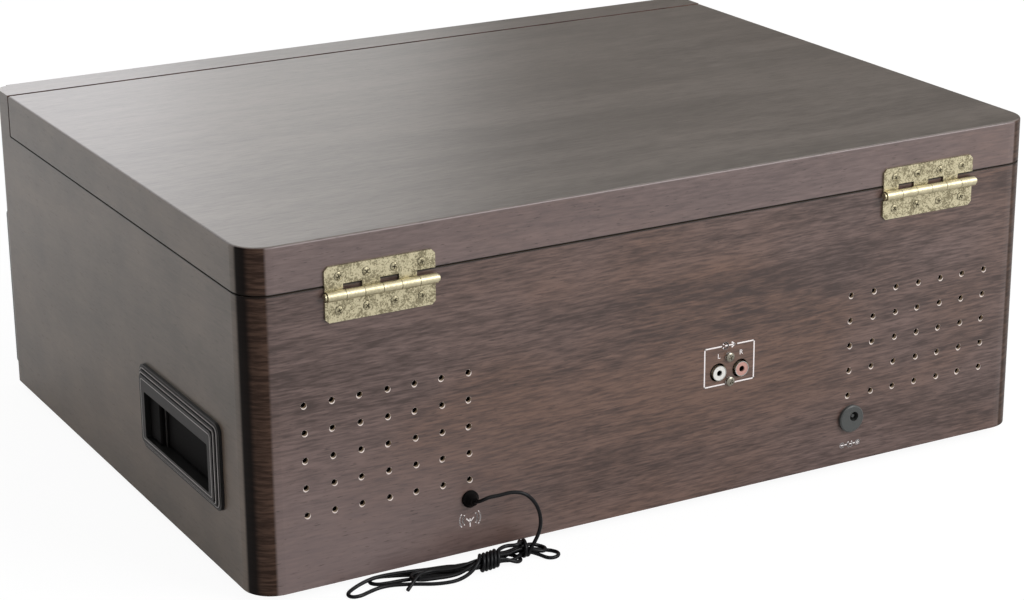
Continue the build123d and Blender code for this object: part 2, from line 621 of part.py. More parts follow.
def platter():
    """Turned platter: rim skirt, belt drum and hub below one plate."""
    top = PLATTER_H
    web = top - 4
    profile = [(BEARING_R + RUN, 0), (12, 0), (12, web), (DRUM_R - 3, web), (DRUM_R - 3, 0.5), (DRUM_R, 0.5),
               (DRUM_R, web), (PLATTER_R - 3, web), (PLATTER_R - 3, 0), (PLATTER_R, 0), (PLATTER_R, top - 0.6),
               (PLATTER_R - 0.6, top), (BEARING_R + RUN, top)]
    return turned(profile, (SPINDLE_X, SPINDLE_Y, Z_PLATTER))


def platter_mat():
    profile = [(SPINDLE_R + 0.7, 0), (PLATTER_R - 4, 0), (PLATTER_R - 4, MAT_T - 0.5), (PLATTER_R - 4.5, MAT_T),
               (SPINDLE_R + 0.7, MAT_T)]
    return turned(profile, (SPINDLE_X, SPINDLE_Y, Z_MAT - MAT_T))


BELT_LOW = Z_WELL + 4


def motor_pulley():
    """Flanged pulley on the motor's shaft."""
    flange = PULLEY_R + BELT_T + 0.5
    low = BELT_LOW - Z_WELL - 0.3
    high = low + BELT_H + 0.6
    profile = [(0, -2), (1, -2), (1, 1.8), (flange, 1.8), (flange, low - 0.2), (PULLEY_R, low), (PULLEY_R, high),
               (flange, high + 0.2), (flange, high + 0.8), (0, high + 0.8)]
    return turned(profile, (PULLEY_X, PULLEY_Y, Z_WELL))


def drive_belt():
    """Flat belt round the platter's drum and the pulley."""
    def loop(extra):
        drum = Pos(SPINDLE_X, SPINDLE_Y) * Circle(DRUM_R + extra)
        pulley = Pos(PULLEY_X, PULLEY_Y) * Circle(PULLEY_R + extra)
        return make_hull(drum.edges() + pulley.edges())
    ring = loop(0.1 + BELT_T) - loop(0.1)
    return extrude(Pos(0, 0, BELT_LOW) * ring, BELT_H)


def turntable_motor():
    """Can under the well floor, open at the top for the pulley's shaft."""
    depth = MOTOR_H
    profile = [(1 + RUN, 0), (MOTOR_R, 0), (MOTOR_R, -depth), (0, -depth), (0, -3), (1 + RUN, -3)]
    return turned(profile, (PULLEY_X, PULLEY_Y, Z_WELL - DECK_T))


# ---------------------------------------------------------------- tonearm
PILLAR_TOP = Z_ARM - 7.5


def arm_pillar():
    """Fixed post with the yoke's bearing and the cue lever's bracket."""
    base = Z_DECK
    top = PILLAR_TOP - base
    shaft = YOKE_SHAFT_R + RUN
    profile = [(0, -10), (YOKE_SHAFT_R + 4, -10), (YOKE_SHAFT_R + 4, 0), (22, 0), (22, 2.5), (20, 4), (16, 5.5),
               (15, top), (shaft, top), (shaft, 2), (0, 2)]
    post = turned(profile, (ARM_X, ARM_Y, base))
    bracket = block((ARM_X + 14, ARM_X + 22), (ARM_Y - 5, ARM_Y + 5), (base + 2, CUE_Z + 3))
    hole = rod((ARM_X + 17, ARM_Y, CUE_Z), (1, 0, 0), 6, 1.5 + RUN)
    return post + bracket - hole


CUE_Z = Z_DECK + 9
CUE_X = ARM_X + 22


def cue_lever():
    """Hand lever on a pin in the pillar's bracket."""
    pin = rod((CUE_X - 4.5, ARM_Y, CUE_Z), (1, 0, 0), 5, 1.5)
    hub = rod((CUE_X + FIT, ARM_Y, CUE_Z), (1, 0, 0), 4, 4)
    x = CUE_X + FIT + 2
    bar = rod((x, ARM_Y, CUE_Z), (0, -1, 0), CUE_LEN, 1.5)
    tip = rod((x, ARM_Y - CUE_LEN, CUE_Z), (0, -1, 0), 9, 2.4)
    return fuse([pin, hub, bar, tip])


def tonearm_yoke():
    """Turret on a shaft, with two ears for the arm's trunnions."""
    turret_low = PILLAR_TOP + FIT
    shaft = rod((ARM_X, ARM_Y, Z_DECK + 3), (0, 0, 1), turret_low - Z_DECK - 3, YOKE_SHAFT_R)
    turret = rod((ARM_X, ARM_Y, turret_low), (0, 0, 1), 1.8, 14)
    yoke = shaft + turret
    for side in (-1, 1):
        x = sorted((ARM_X + side * 7, ARM_X + side * 10))
        ear = block(x, (ARM_Y - 5, ARM_Y + 5), (turret_low + 1, Z_ARM + 5))
        yoke = yoke + ear
    return yoke - rod((ARM_X - 12, ARM_Y, Z_ARM), (1, 0, 0), 24, 1.5 + RUN)


def tonearm_tube():
    """Straight arm with its trunnion block, tail weight and head shell."""
    trunnions = rod((ARM_X - 10, ARM_Y, Z_ARM), (1, 0, 0), 20, 1.5)
    core = block((ARM_X - 6.7, ARM_X + 6.7), (ARM_Y - 9, ARM_Y + 9), (Z_ARM - 4.8, Z_ARM + 4.8))
    tube = rod((ARM_X, ARM_Y, Z_ARM), (0, -1, 0), ARM_LEN - 20, ARM_R)
    tail = turned([(0, 0), (8, 0), (9.5, 1.5), (9.5, 16), (8.5, 17.5), (0, 17.5)],
                  (ARM_X, ARM_Y + 17, Z_ARM), (0, 1, 0))
    neck = rod((ARM_X, ARM_Y + 8, Z_ARM), (0, 1, 0), 12, 4)
    tip_y = ARM_Y - ARM_LEN
    shell = block((ARM_X - 9, ARM_X + 9), (tip_y - 9, tip_y + 30), (Z_ARM - 3, Z_ARM + 3))
    shell = fillet(shell.edges().filter_by(Axis.Z), 4)
    grip = rod((ARM_X + 8, tip_y, Z_ARM), (1, 0, 0), 9, 1.5)
    return fuse([core, trunnions, tube, neck, tail, shell, grip])


def cartridge():
    """Pick-up body and stylus below the head shell."""
    tip_y = ARM_Y - ARM_LEN
    body = block((ARM_X - 6, ARM_X + 6), (tip_y - 6, tip_y + 16), (Z_STYLUS + 3.5, Z_ARM - 3))
    stylus = turned([(0, 0.3), (0.4, 0.5), (1.6, 3.5), (0, 3.5)], (ARM_X, tip_y, Z_STYLUS))
    return body + stylus


def arm_rest():
    """Post with a saddle under the arm, its lip on the side away from the record."""
    y = ARM_Y - REST_REACH
    saddle = Z_ARM - ARM_R - FIT
    post = rod((ARM_X, y, Z_DECK), (0, 0, 1), saddle - 3 - Z_DECK, 4)
    foot = rod((ARM_X, y, Z_DECK), (0, 0, 1), 2, 9)
    head = block((ARM_X - 5, ARM_X + 8), (y - 4, y + 4), (saddle - 3.5, saddle))
    lip = block((ARM_X + ARM_R + FIT + 0.7, ARM_X + 8), (y - 4, y + 4), (saddle - 1, saddle + 5))
    return fuse([post, foot, head, lip])


def speed_lever():
    """Slider through the deck with a plate that keeps it in its slot."""
    stem = block((SPEED_X - 2, SPEED_X + 2), (SPEED_Y - 2, SPEED_Y + 2), (Z_DECK - DECK_T - FIT, Z_DECK + 6))
    cap = block((SPEED_X - 5, SPEED_X + 5), (SPEED_Y - 4, SPEED_Y + 4), (Z_DECK + FIT, Z_DECK + 7))
    cap = fillet(cap.edges().filter_by(Axis.X), 1.5)
    keeper = block((SPEED_X - 5, SPEED_X + 5), (SPEED_Y - 5, SPEED_Y + 5),
                   (Z_DECK - DECK_T - FIT - 1.5, Z_DECK - DECK_T - FIT))
    return fuse([stem, cap, keeper])


# ---------------------------------------------------------------- electronics and back fittings
MAIN_BOARD_X = (-195.0, -15.0)
MAIN_BOARD_Y = (58.0, 148.0)


def main_board():
    """Amplifier board on its posts, with heat sink and capacitors."""
    low = Z_FLOOR + 9
    face = low + BOARD_T
    x0, x1 = MAIN_BOARD_X
    y0, y1 = MAIN_BOARD_Y
    pieces = [block(MAIN_BOARD_X, MAIN_BOARD_Y, (low, face))]
    for x in (x0 + 6, x1 - 6):
        for y in (y0 + 6, y1 - 6):
            pieces.append(rod((x, y, Z_FLOOR), (0, 0, 1), 9, 3))
    for number in range(6):
        x = x0 + 20 + number * 8
        pieces.append(block((x, x + 2), (y0 + 14, y0 + 50), (face, face + 26)))
    pieces.append(block((x0 + 20, x0 + 62), (y0 + 30, y0 + 33), (face, face + 26)))
    for number in range(3):
        pieces.append(rod((x1 - 24 - number * 22, y0 + 30, face), (0, 0, 1), 22, 8))
    return fuse(pieces)


LINE_FACE = Y_BACK - LINE_WALL


def line_out_block():
    """Moulded block behind the back's thinned wall, bored for the two sockets."""
    z = Z_LOW + LINE_Z
    body = block((LINE_X - 18, LINE_X + 18), (LINE_FACE - BLOCK_T, LINE_FACE), (z - 10, z + 13))
    for x, height in line_points():
        body = body - rod((x, LINE_FACE - 4.1, height), (0, 1, 0), 6, SLEEVE_NECK_R + SHANK_FIT)
    for x, height in LINE_SCREWS:
        body = body - rod((x, LINE_FACE - 4.1, height), (0, 1, 0), 6, 1.0 + SHANK_FIT)
    return body


def line_out_sleeves():
    """Plated sleeves of the two sockets and the screws that hold their block."""
    pieces = []
    for x, z in line_points():
        neck = rod((x, LINE_FACE - 4, z), (0, 1, 0), 4 + SLEEVE_STEP, SLEEVE_NECK_R)
        step = LINE_FACE + SLEEVE_STEP
        sleeve = neck + rod((x, step, z), (0, 1, 0), Y_BACK + SLEEVE_PROUD - step, SLEEVE_R)
        sleeve = sleeve - rod((x, LINE_FACE - 3.4, z), (0, 1, 0), 30, SLEEVE_NECK_R - SLEEVE_WALL)
        mouth = Y_BACK + SLEEVE_PROUD - CORE_HEAD - 0.2
        pieces.append(sleeve - rod((x, mouth, z), (0, 1, 0), 5, CORE_HEAD_R + RUN))
    shank = -LINE_WALL - 4
    for x, z in LINE_SCREWS:
        profile = [(0, shank), (1.0, shank), (1.0, 0), (2.6, 0), (2.2, 1.1), (0, 1.4)]
        pieces.append(turned(profile, (x, Y_BACK, z), (0, 1, 0)))
    return pieces


def line_out_collars():
    """Coloured insulators inside the sleeves, each with a wider head at the mouth."""
    pieces = []
    inner = SLEEVE_NECK_R - SLEEVE_WALL - RUN
    head = SLEEVE_PROUD - CORE_HEAD - 0.15
    for x, z in line_points():
        core = rod((x, LINE_FACE - 3.3, z), (0, 1, 0), 3.3 + LINE_WALL + head, inner)
        core = core + rod((x, Y_BACK + head, z), (0, 1, 0), CORE_HEAD, CORE_HEAD_R)
        pieces.append(core - rod((x, Y_BACK - 8, z), (0, 1, 0), 30, 1.65))
    return pieces


def dc_jack():
    """Round power inlet: flange outside, nut inside, off-centre bore with a contact pin."""
    z = Z_LOW + DC_Z
    neck = DC_R - 2.1
    profile = [(0, -WALL - 3), (DC_R, -WALL - 3), (DC_R, -WALL), (neck, -WALL), (neck, 0), (DC_R, 0),
               (DC_R, 1.6), (DC_R - 0.7, 2.2), (0, 2.2)]
    body = turned(profile, (DC_X, Y_BACK, z), (0, 1, 0))
    mouth = (DC_X + DC_BORE_SHIFT[0], Y_BACK + 2.2 - DC_BORE_DEPTH, z + DC_BORE_SHIFT[1])
    bore = rod(mouth, (0, 1, 0), DC_BORE_DEPTH + 1, DC_BORE_R)
    pin = rod(mouth, (0, 1, 0), DC_BORE_DEPTH - 1.5, DC_PIN_R)
    return body - bore + pin


def antenna_gland():
    """Grommet in the back that the antenna wire comes out of."""
    neck = GLAND_R - 1.1
    profile = [(0, -WALL - 2), (neck + 0.8, -WALL - 2), (neck + 0.8, -WALL), (neck, -WALL), (neck, 0), (GLAND_R, 0),
               (GLAND_R, 1.2), (GLAND_R - 1, 2.2), (2.2, GLAND_PROUD), (0, GLAND_PROUD)]
    return turned(profile, (GLAND_X, Y_BACK, Z_LOW + GLAND_Z), (0, 1, 0))


# ---------------------------------------------------------------- hinges
def knuckle_span(hinge_x, number):
    """X limits of one knuckle, counted from the +X end."""
    length = HINGE_W / KNUCKLES
    high = hinge_x + HINGE_W / 2 - number * length
    return high - length + KNUCKLE_GAP / 2, high - KNUCKLE_GAP / 2


def hinge_leaf(hinge_x, upper):
    """One leaf: plate with clipped corners, its knuckles and its screw holes."""
    sign = 1 if upper else -1
    reach = LEAF_HIGH if upper else LEAF_LOW
    near = Z_LID - PIN_Z if upper else BARREL_R + 2 * KNUCKLE_GAP
    plate_z = sorted((PIN_Z + sign * near, PIN_Z + sign * reach))
    half = HINGE_W / 2
    plate = block((hinge_x - half, hinge_x + half), (Y_BACK, Y_BACK + LEAF_T), plate_z)
    far = 1 if upper else 0
    corners = plate.edges().filter_by(Axis.Y).group_by(Axis.Z)[-far]
    leaf = chamfer(corners, 2.0)
    for number in range(0 if upper else 1, KNUCKLES, 2):
        span = knuckle_span(hinge_x, number)
        tongue_z = sorted((PIN_Z, PIN_Z + sign * (near + 1)))
        leaf = leaf + block(span, (Y_BACK + LEAF_RELIEF, Y_BACK + LEAF_T), tongue_z)
        leaf = leaf + rod((span[0], PIN_Y, PIN_Z), (1, 0, 0), span[1] - span[0], BARREL_R)
    leaf = leaf - rod((hinge_x - half - 1, PIN_Y, PIN_Z), (1, 0, 0), HINGE_W + 2, PIN_R + RUN)
    z = Z_UPPER_SCREWS if upper else Z_LOWER_SCREWS
    for x, y, height in leaf_screw_points(z):
        if abs(x - hinge_x) < half:
            sink = [(0, -3), (SCREW_SHANK_R + SHANK_FIT, -3), (SCREW_SHANK_R + SHANK_FIT, -LEAF_T),
                    (SCREW_HEAD_R + SHANK_FIT, 0), (SCREW_HEAD_R + SHANK_FIT, 1), (0, 1)]
            leaf = leaf - turned(sink, (x, y, height), (0, 1, 0))
    return leaf


def hinge_leaves(upper):
    return [hinge_leaf(x, upper) for x in both_sides(HINGE_X)]


def hinge_pins():
    """Pins with a small head at each end."""
    pins = []
    for hinge_x in both_sides(HINGE_X):
        half = HINGE_W / 2
        pin = rod((hinge_x - half - 0.8, PIN_Y, PIN_Z), (1, 0, 0), HINGE_W + 1.6, PIN_R)
        for start in (hinge_x - half - 1, hinge_x + half + 0.1):
            pin = pin + rod((start, PIN_Y, PIN_Z), (1, 0, 0), 0.9, PIN_R + 0.7)
        pins.append(pin)
    return pins


def hinge_screws(z):
    return [wood_screw(point, (0, 1, 0)) for point in leaf_screw_points(z)]


# ---------------------------------------------------------------- lid
def lid_panel():
    """Top board with skirts all round, behind the front board."""
    front = Y_INNER + SEAM
    outer = block((-HALF_W, HALF_W), (front, Y_BACK), (Z_LID, Z_TOP))
    outer = fillet(upright_rear_edges(outer), CORNER_R)
    outer = fillet(outer.faces().sort_by(Axis.Z)[-1].edges(), LID_EDGE_R)
    inner = block((-X_INNER, X_INNER), (front + WALL, Y_BACK_IN), (Z_LID - 1, Z_TOP - LID_TOP_T))
    inner = fillet(upright_rear_edges(inner), CORNER_R - WALL)
    lid = outer - inner
    for point in leaf_screw_points(Z_UPPER_SCREWS):
        lid = lid - screw_hole(point, (0, 1, 0))
    return lid


def lid_bumpers():
    """Thin pads under the skirts' corners."""
    x = HALF_W - WALL / 2
    pads = []
    for side_x in both_sides(x):
        for y in (Y_INNER + SEAM + 14, 60):
            pads.append(rod((side_x, y, Z_RIM + FIT), (0, 0, 1), LID_GAP - FIT, 4))
    return pads


def stay_bracket():
    """Plate on the side wall with the stay's pivot pin."""
    plate = block((X_INNER - STAY_T, X_INNER), (STAY_Y - 12, STAY_Y + 12), (PIN_Z - 10, PIN_Z + 3.8))
    pivot = rod((X_INNER - STAY_T, STAY_Y, PIN_Z), (-1, 0, 0), X_INNER - STAY_T - X_STAY + 0.3, STAY_PIVOT_R)
    return plate + pivot


def lid_stay():
    """Flat link from the bracket's pin to a pin in the track."""
    tip_y = STAY_Y - STAY_ARM
    half = STAY_W / 2
    x = (X_STAY, X_STAY + STAY_T)
    bar = block(x, (tip_y, STAY_Y), (PIN_Z - half, PIN_Z + half))
    ends = [rod((X_STAY, y, PIN_Z), (1, 0, 0), STAY_T, half) for y in (tip_y, STAY_Y)]
    link = fuse([bar] + ends) - rod((X_STAY - 1, STAY_Y, PIN_Z), (1, 0, 0), STAY_T + 2, STAY_PIVOT_R + RUN)
    pin = rod((X_STAY, tip_y, PIN_Z), (-1, 0, 0), X_STAY - X_TRACK + 1.5, STAY_PIN_R)
    return link + pin


def stay_track():
    """Slotted plate hung from the lid on a flange, the slot in line with the hinge pin."""
    tip_y = PIN_Y - 2 * STAY_ARM
    end_y = PIN_Y - 2 * STAY_ARM * math.cos(math.radians(LID_OPEN))
    top = Z_TOP - LID_TOP_T
    plate = block((X_TRACK, X_TRACK + STAY_T), (tip_y - 9, end_y + 9), (PIN_Z - 4.5, top))
    flange = block((X_TRACK - 12, X_TRACK + STAY_T), (tip_y - 9, end_y + 9), (top - 1.5, top))
    half = STAY_PIN_R + SLOT_CLEAR
    slot = block((X_TRACK - 1, X_TRACK + STAY_T + 1), (tip_y, end_y), (PIN_Z - half, PIN_Z + half))
    ends = [rod((X_TRACK - 1, y, PIN_Z), (1, 0, 0), STAY_T + 2, half) for y in (tip_y, end_y)]
    return plate + flange - fuse([slot] + ends)


# ---------------------------------------------------------------- cassette side
X_TUB = X_INNER - 2
TUB_W, TUB_H = SLOT_W + 4.4, SLOT_H + 4.4
FLAP_TOP = SLOT_Z + SLOT_H / 2 - 0.4
FLAP_PIN_Z = FLAP_TOP - 1.6
X_FLAP = HALF_W - FLAP_BACK
X_FLAP_PIN = X_FLAP - FLAP_T - 0.4


def cassette_bezel():
    """Stepped frame on the side with a tub through the wall, split for the flap and the key."""
    z = Z_LOW + CAS_Z
    frame = side_plate(CAS_Y, z, BEZEL_W, BEZEL_H, BEZEL_R, HALF_W, HALF_W + BEZEL_PROUD * 0.45)
    frame = frame + side_plate(CAS_Y, z, BEZEL_W - 5, BEZEL_H - 5, BEZEL_R - 1.5, HALF_W,
                               HALF_W + BEZEL_PROUD * 0.75)
    frame = frame + side_plate(CAS_Y, z, BEZEL_W - 9, BEZEL_H - 9, BEZEL_R - 2.5, HALF_W, HALF_W + BEZEL_PROUD)
    tub = side_plate(SLOT_Y, SLOT_Z, TUB_W, TUB_H, 2, X_TUB, HALF_W)
    mouth = side_plate(SLOT_Y, SLOT_Z, SLOT_W, SLOT_H, 1.2, X_TUB - 1, HALF_W + BEZEL_PROUD + 1)
    divider_y = (KEY_Y + KEY_W / 2 + 1.0, KEY_Y + KEY_W / 2 + 1.0 + DIVIDER)
    divider = block((X_TUB, HALF_W - 1), divider_y, (SLOT_Z - SLOT_H / 2 - 1, SLOT_Z + SLOT_H / 2 + 1))
    bezel = frame + tub - mouth + divider
    pin_hole = rod((X_FLAP_PIN, divider_y[1] - 1.2, FLAP_PIN_Z), (0, 1, 0), SLOT_W, FLAP_PIN_R + RUN)
    hole_end = block((X_TUB - 1, X_FLAP_PIN + 3), (FLAP_Y1 + 1.3, FLAP_Y1 + 40),
                     (FLAP_PIN_Z - 3, FLAP_PIN_Z + 3))
    return bezel - (pin_hole - hole_end)


def cassette_flap():
    """Sprung door that swings inwards from pins along its top edge."""
    y0, y1 = FLAP_Y0 - 1.0 + FIT, FLAP_Y1 - FIT
    low = SLOT_Z - SLOT_H / 2 + 0.5
    door = block((X_FLAP - FLAP_T, X_FLAP), (y0, y1), (low, FLAP_TOP))
    door = fillet(door.faces().sort_by(Axis.X)[-1].edges(), 0.5)
    barrel = rod((X_FLAP_PIN, y0, FLAP_PIN_Z), (0, 1, 0), y1 - y0, 1.5)
    pin = rod((X_FLAP_PIN, y0 - 1, FLAP_PIN_Z), (0, 1, 0), y1 - y0 + 2, FLAP_PIN_R)
    return fuse([door, barrel, pin])


def cassette_key():
    """Push key beside the flap."""
    y = (KEY_Y - KEY_W / 2 - 1 + FIT + 0.7, KEY_Y + KEY_W / 2 + 1 - FIT)
    z = (SLOT_Z - SLOT_H / 2 + FIT, SLOT_Z + SLOT_H / 2 - FIT)
    cap = block((X_TUB + KEY_TRAVEL + 1, HALF_W + 1.5), y, z)
    return fillet(cap.faces().sort_by(Axis.X)[-1].edges(), 1.2)


def cassette_chassis():
    """Folded metal case behind the flap, on pillars, with the head block inside."""
    x0, x1 = X_TUB - CHASSIS_LEN, X_TUB - 0.1
    y0, y1 = FLAP_Y0 - DIVIDER, FLAP_Y1 + 2
    low, high = SLOT_Z - SLOT_H / 2 - 3, SLOT_Z + SLOT_H / 2 + 3
    case = block((x0, x1), (y0, y1), (low, high))
    wall = CHASSIS_WALL
    case = case - block((x0 + wall, x1 + 1), (y0 + wall, y1 - wall), (low + wall, high - wall))
    pieces = [case]
    for x in (x0 + 12, x1 - 12):
        for y in (y0 + 10, y1 - 10):
            pieces.append(rod((x, y, Z_FLOOR), (0, 0, 1), low - Z_FLOOR, 3.5))
    pieces.append(block((x0 + wall, x0 + 9), (y0 + 22, y1 - 22), (low + wall, SLOT_Z + 2)))
    return fuse(pieces)


# ---------------------------------------------------------------- antenna wire
# Route of the free wire, from the gland to the tied hank: x, distance behind the back, height.
WIRE_ROUTE = [
    (GLAND_X, GLAND_PROUD, Z_LOW + GLAND_Z), (GLAND_X, 11.0, Z_LOW + GLAND_Z + 0.3), (112.5, 13.4, 37.4),
    (106.5, 14.6, 38.6), (100.5, 15.8, 40.2), (94.6, 17.0, 38.2), (89.8, 17.4, 33.0), (86.6, 17.2, 26.4),
    (85.6, 16.6, 19.8), (87.0, 15.8, 13.8), (88.6, 14.8, 9.4), (88.6, 14.6, 5.0),
]
HANK_TOP = 5.0
HANK_OUTLINE = [(192.0, 8.5), (188.0, 12.5), (176.0, 10.5), (160.0, 13.5), (150.0, 19.5), (128.0, 21.0),
                (112.0, 21.5), (98.0, 19.5), (86.0, 22.0), (77.0, 20.0), (76.0, 13.0), (84.0, 8.5),
                (96.0, 5.5), (110.0, 6.5), (124.0, 8.5), (132.0, 4.5), (150.0, 1.5), (172.0, 0.7), (184.0, 2.5)]


def wire_points():
    return [Vector(x, Y_BACK + behind, height) for x, behind, height in WIRE_ROUTE]


def wire_radii(points):
    """Arc at each corner: as large as its two runs allow."""
    radii = []
    for before, here, after in zip(points, points[1:], points[2:]):
        first, second = here - before, after - here
        shorter = min(first.length, second.length)
        half_turn = math.radians(first.get_angle(second)) / 2
        radii.append(0.45 * shorter / math.tan(half_turn))
    return radii


def antenna_wire():
    """Thin wire from the gland down to the hank."""
    points = wire_points()
    radii = wire_radii(points)
    path = FilletPolyline(*points, radius=radii)
    start = Plane(origin=points[0], z_dir=points[1] - points[0])
    tube = sweep(start * Circle(WIRE_R), path)
    ratio = tube.volume / (math.pi * WIRE_R ** 2 * path.length)
    print("wire radii", [round(radius, 1) for radius in radii], "length", round(path.length, 1),
          "volume over section times length", round(ratio, 4))
    return tube


def antenna_hank():
    """Outer shape of the folded and tied rest of the wire."""
    points = [(x, Y_BACK + behind) for x, behind in HANK_OUTLINE]
    return extrude(make_face(Polyline(*points, close=True)), HANK_TOP)


# ---------------------------------------------------------------- all nodes
def nodes():
    dial = Z_LOW + DIAL_Z
    made = {
        "cabinet_shell": cabinet_shell(),
        "bottom_board": bottom_board(),
        "case_screws": case_screws(),
        "rubber_feet": rubber_feet(),
        "front_board": front_board(),
        "front_fascia": front_fascia(),
        "speaker_grilles": speaker_grilles(),
        "speaker_baskets": speaker_baskets(),
        "speaker_cones": speaker_cones(),
        "dial_window": dial_window(),
        "dial_plate": dial_plate(),
        "dial_pointer": dial_pointer(),
        "control_boards": control_boards(),
        "volume_knob": knob(-KNOB_X, dial, KNOB_R, KNOB_LEN),
        "tuning_knob": knob(KNOB_X, dial, KNOB_R, KNOB_LEN),
        "function_knob": knob(KNOB_X, Z_LOW + FUNCTION_Z, FUNCTION_R, FUNCTION_LEN),
        "power_button": push_button(-KNOB_X, Z_LOW + POWER_Z, POWER_W, POWER_H),
        "headphone_jack": headphone_jack(),
        "cd_drawer": cd_drawer(),
        "cd_loader": cd_loader(),
        "deck_plate": deck_plate(),
        "deck_rails": deck_rails(),
        "platter_spindle": platter_spindle(),
        "platter": platter(),
        "platter_mat": platter_mat(),
        "motor_pulley": motor_pulley(),
        "drive_belt": drive_belt(),
        "turntable_motor": turntable_motor(),
        "arm_pillar": arm_pillar(),
        "cue_lever": cue_lever(),
        "tonearm_yoke": tonearm_yoke(),
        "tonearm_tube": tonearm_tube(),
        "cartridge": cartridge(),
        "arm_rest": arm_rest(),
        "speed_lever": speed_lever(),
        "main_board": main_board(),
        "line_out_block": line_out_block(),
        "line_out_sleeves": line_out_sleeves(),
        "line_out_collars": line_out_collars(),
        "dc_jack": dc_jack(),
        "antenna_gland": antenna_gland(),
        "hinge_lower_leaves": hinge_leaves(False),
        "hinge_pins": hinge_pins(),
        "hinge_lower_screws": hinge_screws(Z_LOWER_SCREWS),
        "lid_panel": lid_panel(),
        "lid_bumpers": lid_bumpers(),
        "hinge_upper_leaves": hinge_leaves(True),
        "hinge_upper_screws": hinge_screws(Z_UPPER_SCREWS),
        "stay_bracket": stay_bracket(),
        "lid_stay": lid_stay(),
        "stay_track": stay_track(),
        "cassette_bezel": cassette_bezel(),
        "cassette_flap": cassette_flap(),
        "cassette_key": cassette_key(),
        "cassette_chassis": cassette_chassis(),
        "antenna_wire": antenna_wire(),
        "antenna_hank": antenna_hank(),
    }
    for name, x in zip(("stop_button", "play_button", "skip_button"), BUTTON_XS):
        made[name] = push_button(x, Z_LOW + BUTTON_Z, BUTTON_W, BUTTON_H)
    return made


def main():
    os.makedirs("parts", exist_ok=True)
    shift = Pos(0, ROW_SHIFT, 0)
    for name, piece in nodes().items():
        solids = piece if isinstance(piece, list) else [piece]
        placed = [solid for item in solids for solid in (shift * item).solids()]
        whole = placed[0] if len(placed) == 1 else Compound(placed)
        export_step(whole, f"parts/{name}.step")


main()
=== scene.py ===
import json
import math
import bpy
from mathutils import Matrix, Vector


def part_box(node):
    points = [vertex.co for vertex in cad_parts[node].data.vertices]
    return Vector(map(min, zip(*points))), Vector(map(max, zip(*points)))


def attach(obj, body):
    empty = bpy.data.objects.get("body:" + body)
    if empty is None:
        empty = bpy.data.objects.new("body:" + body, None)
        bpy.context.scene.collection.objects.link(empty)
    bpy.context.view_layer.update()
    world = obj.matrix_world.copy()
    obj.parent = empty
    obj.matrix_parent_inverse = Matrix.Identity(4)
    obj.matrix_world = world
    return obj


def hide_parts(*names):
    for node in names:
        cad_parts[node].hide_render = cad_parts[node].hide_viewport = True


bl_info = {
    "name": "Stereo music centre",
    "version": (1, 0, 0),
    "blender": (4, 5, 0),
    "location": "View3D > Sidebar > Music centre",
    "description": "Dresses the wood-cased music centre: foil, brass, controls, record deck and antenna wire",
    "category": "Object",
}

import bmesh
import bpy
from bpy.props import FloatProperty, FloatVectorProperty, IntProperty, PointerProperty
from mathutils import Matrix, Vector

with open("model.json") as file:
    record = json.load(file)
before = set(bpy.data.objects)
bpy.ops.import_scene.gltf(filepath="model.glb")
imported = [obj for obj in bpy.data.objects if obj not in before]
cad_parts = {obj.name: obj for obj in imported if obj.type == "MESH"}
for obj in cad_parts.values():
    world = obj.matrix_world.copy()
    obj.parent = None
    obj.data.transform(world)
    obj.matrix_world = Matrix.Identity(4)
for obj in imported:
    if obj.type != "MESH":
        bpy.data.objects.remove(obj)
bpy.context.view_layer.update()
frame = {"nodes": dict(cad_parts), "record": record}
MM = 0.001


def low(node):
    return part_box(node)[0]


def high(node):
    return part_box(node)[1]


def middle(node):
    return (low(node) + high(node)) / 2


BACK_Y = high("cabinet_shell").y
FRONT_Y = low("front_fascia").y
SIDE_X = high("cabinet_shell").x
WALL = 12 * MM
CORNER = 16 * MM
SHELL_Z = (low("cabinet_shell").z, high("cabinet_shell").z)
DECK_Z = high("deck_plate").z - 2 * MM
SPINDLE = middle("platter_spindle")
ARM = middle("tonearm_yoke")
LID_TOP = high("lid_panel").z
PLATE_Y = low("dial_plate").y + 6 * MM
DIAL_X = 55 * MM
DIAL_TICKS = 41
LINE_OF_ARM = low("cartridge").z + 11.2 * MM
# Drilled vents in millimetres: count, first hole in from the side or up from the foot, and step.
VENT_RADIUS = 1.6
VENT_COLUMNS, VENT_IN, VENT_STEP_IN = 7, 119.5, 15.1
VENT_ROWS, VENT_UP, VENT_STEP_UP = 5, 40.0, 14.5


# ------------------------------------------------------------------ sizes and colours to change
def colour(name, text, value):
    return FloatVectorProperty(name=name, description=text, default=value, size=3, subtype="COLOR", min=0, max=1)


def length(name, text, value):
    return FloatProperty(name=name, description=text, default=value, unit="LENGTH", subtype="DISTANCE", min=0)


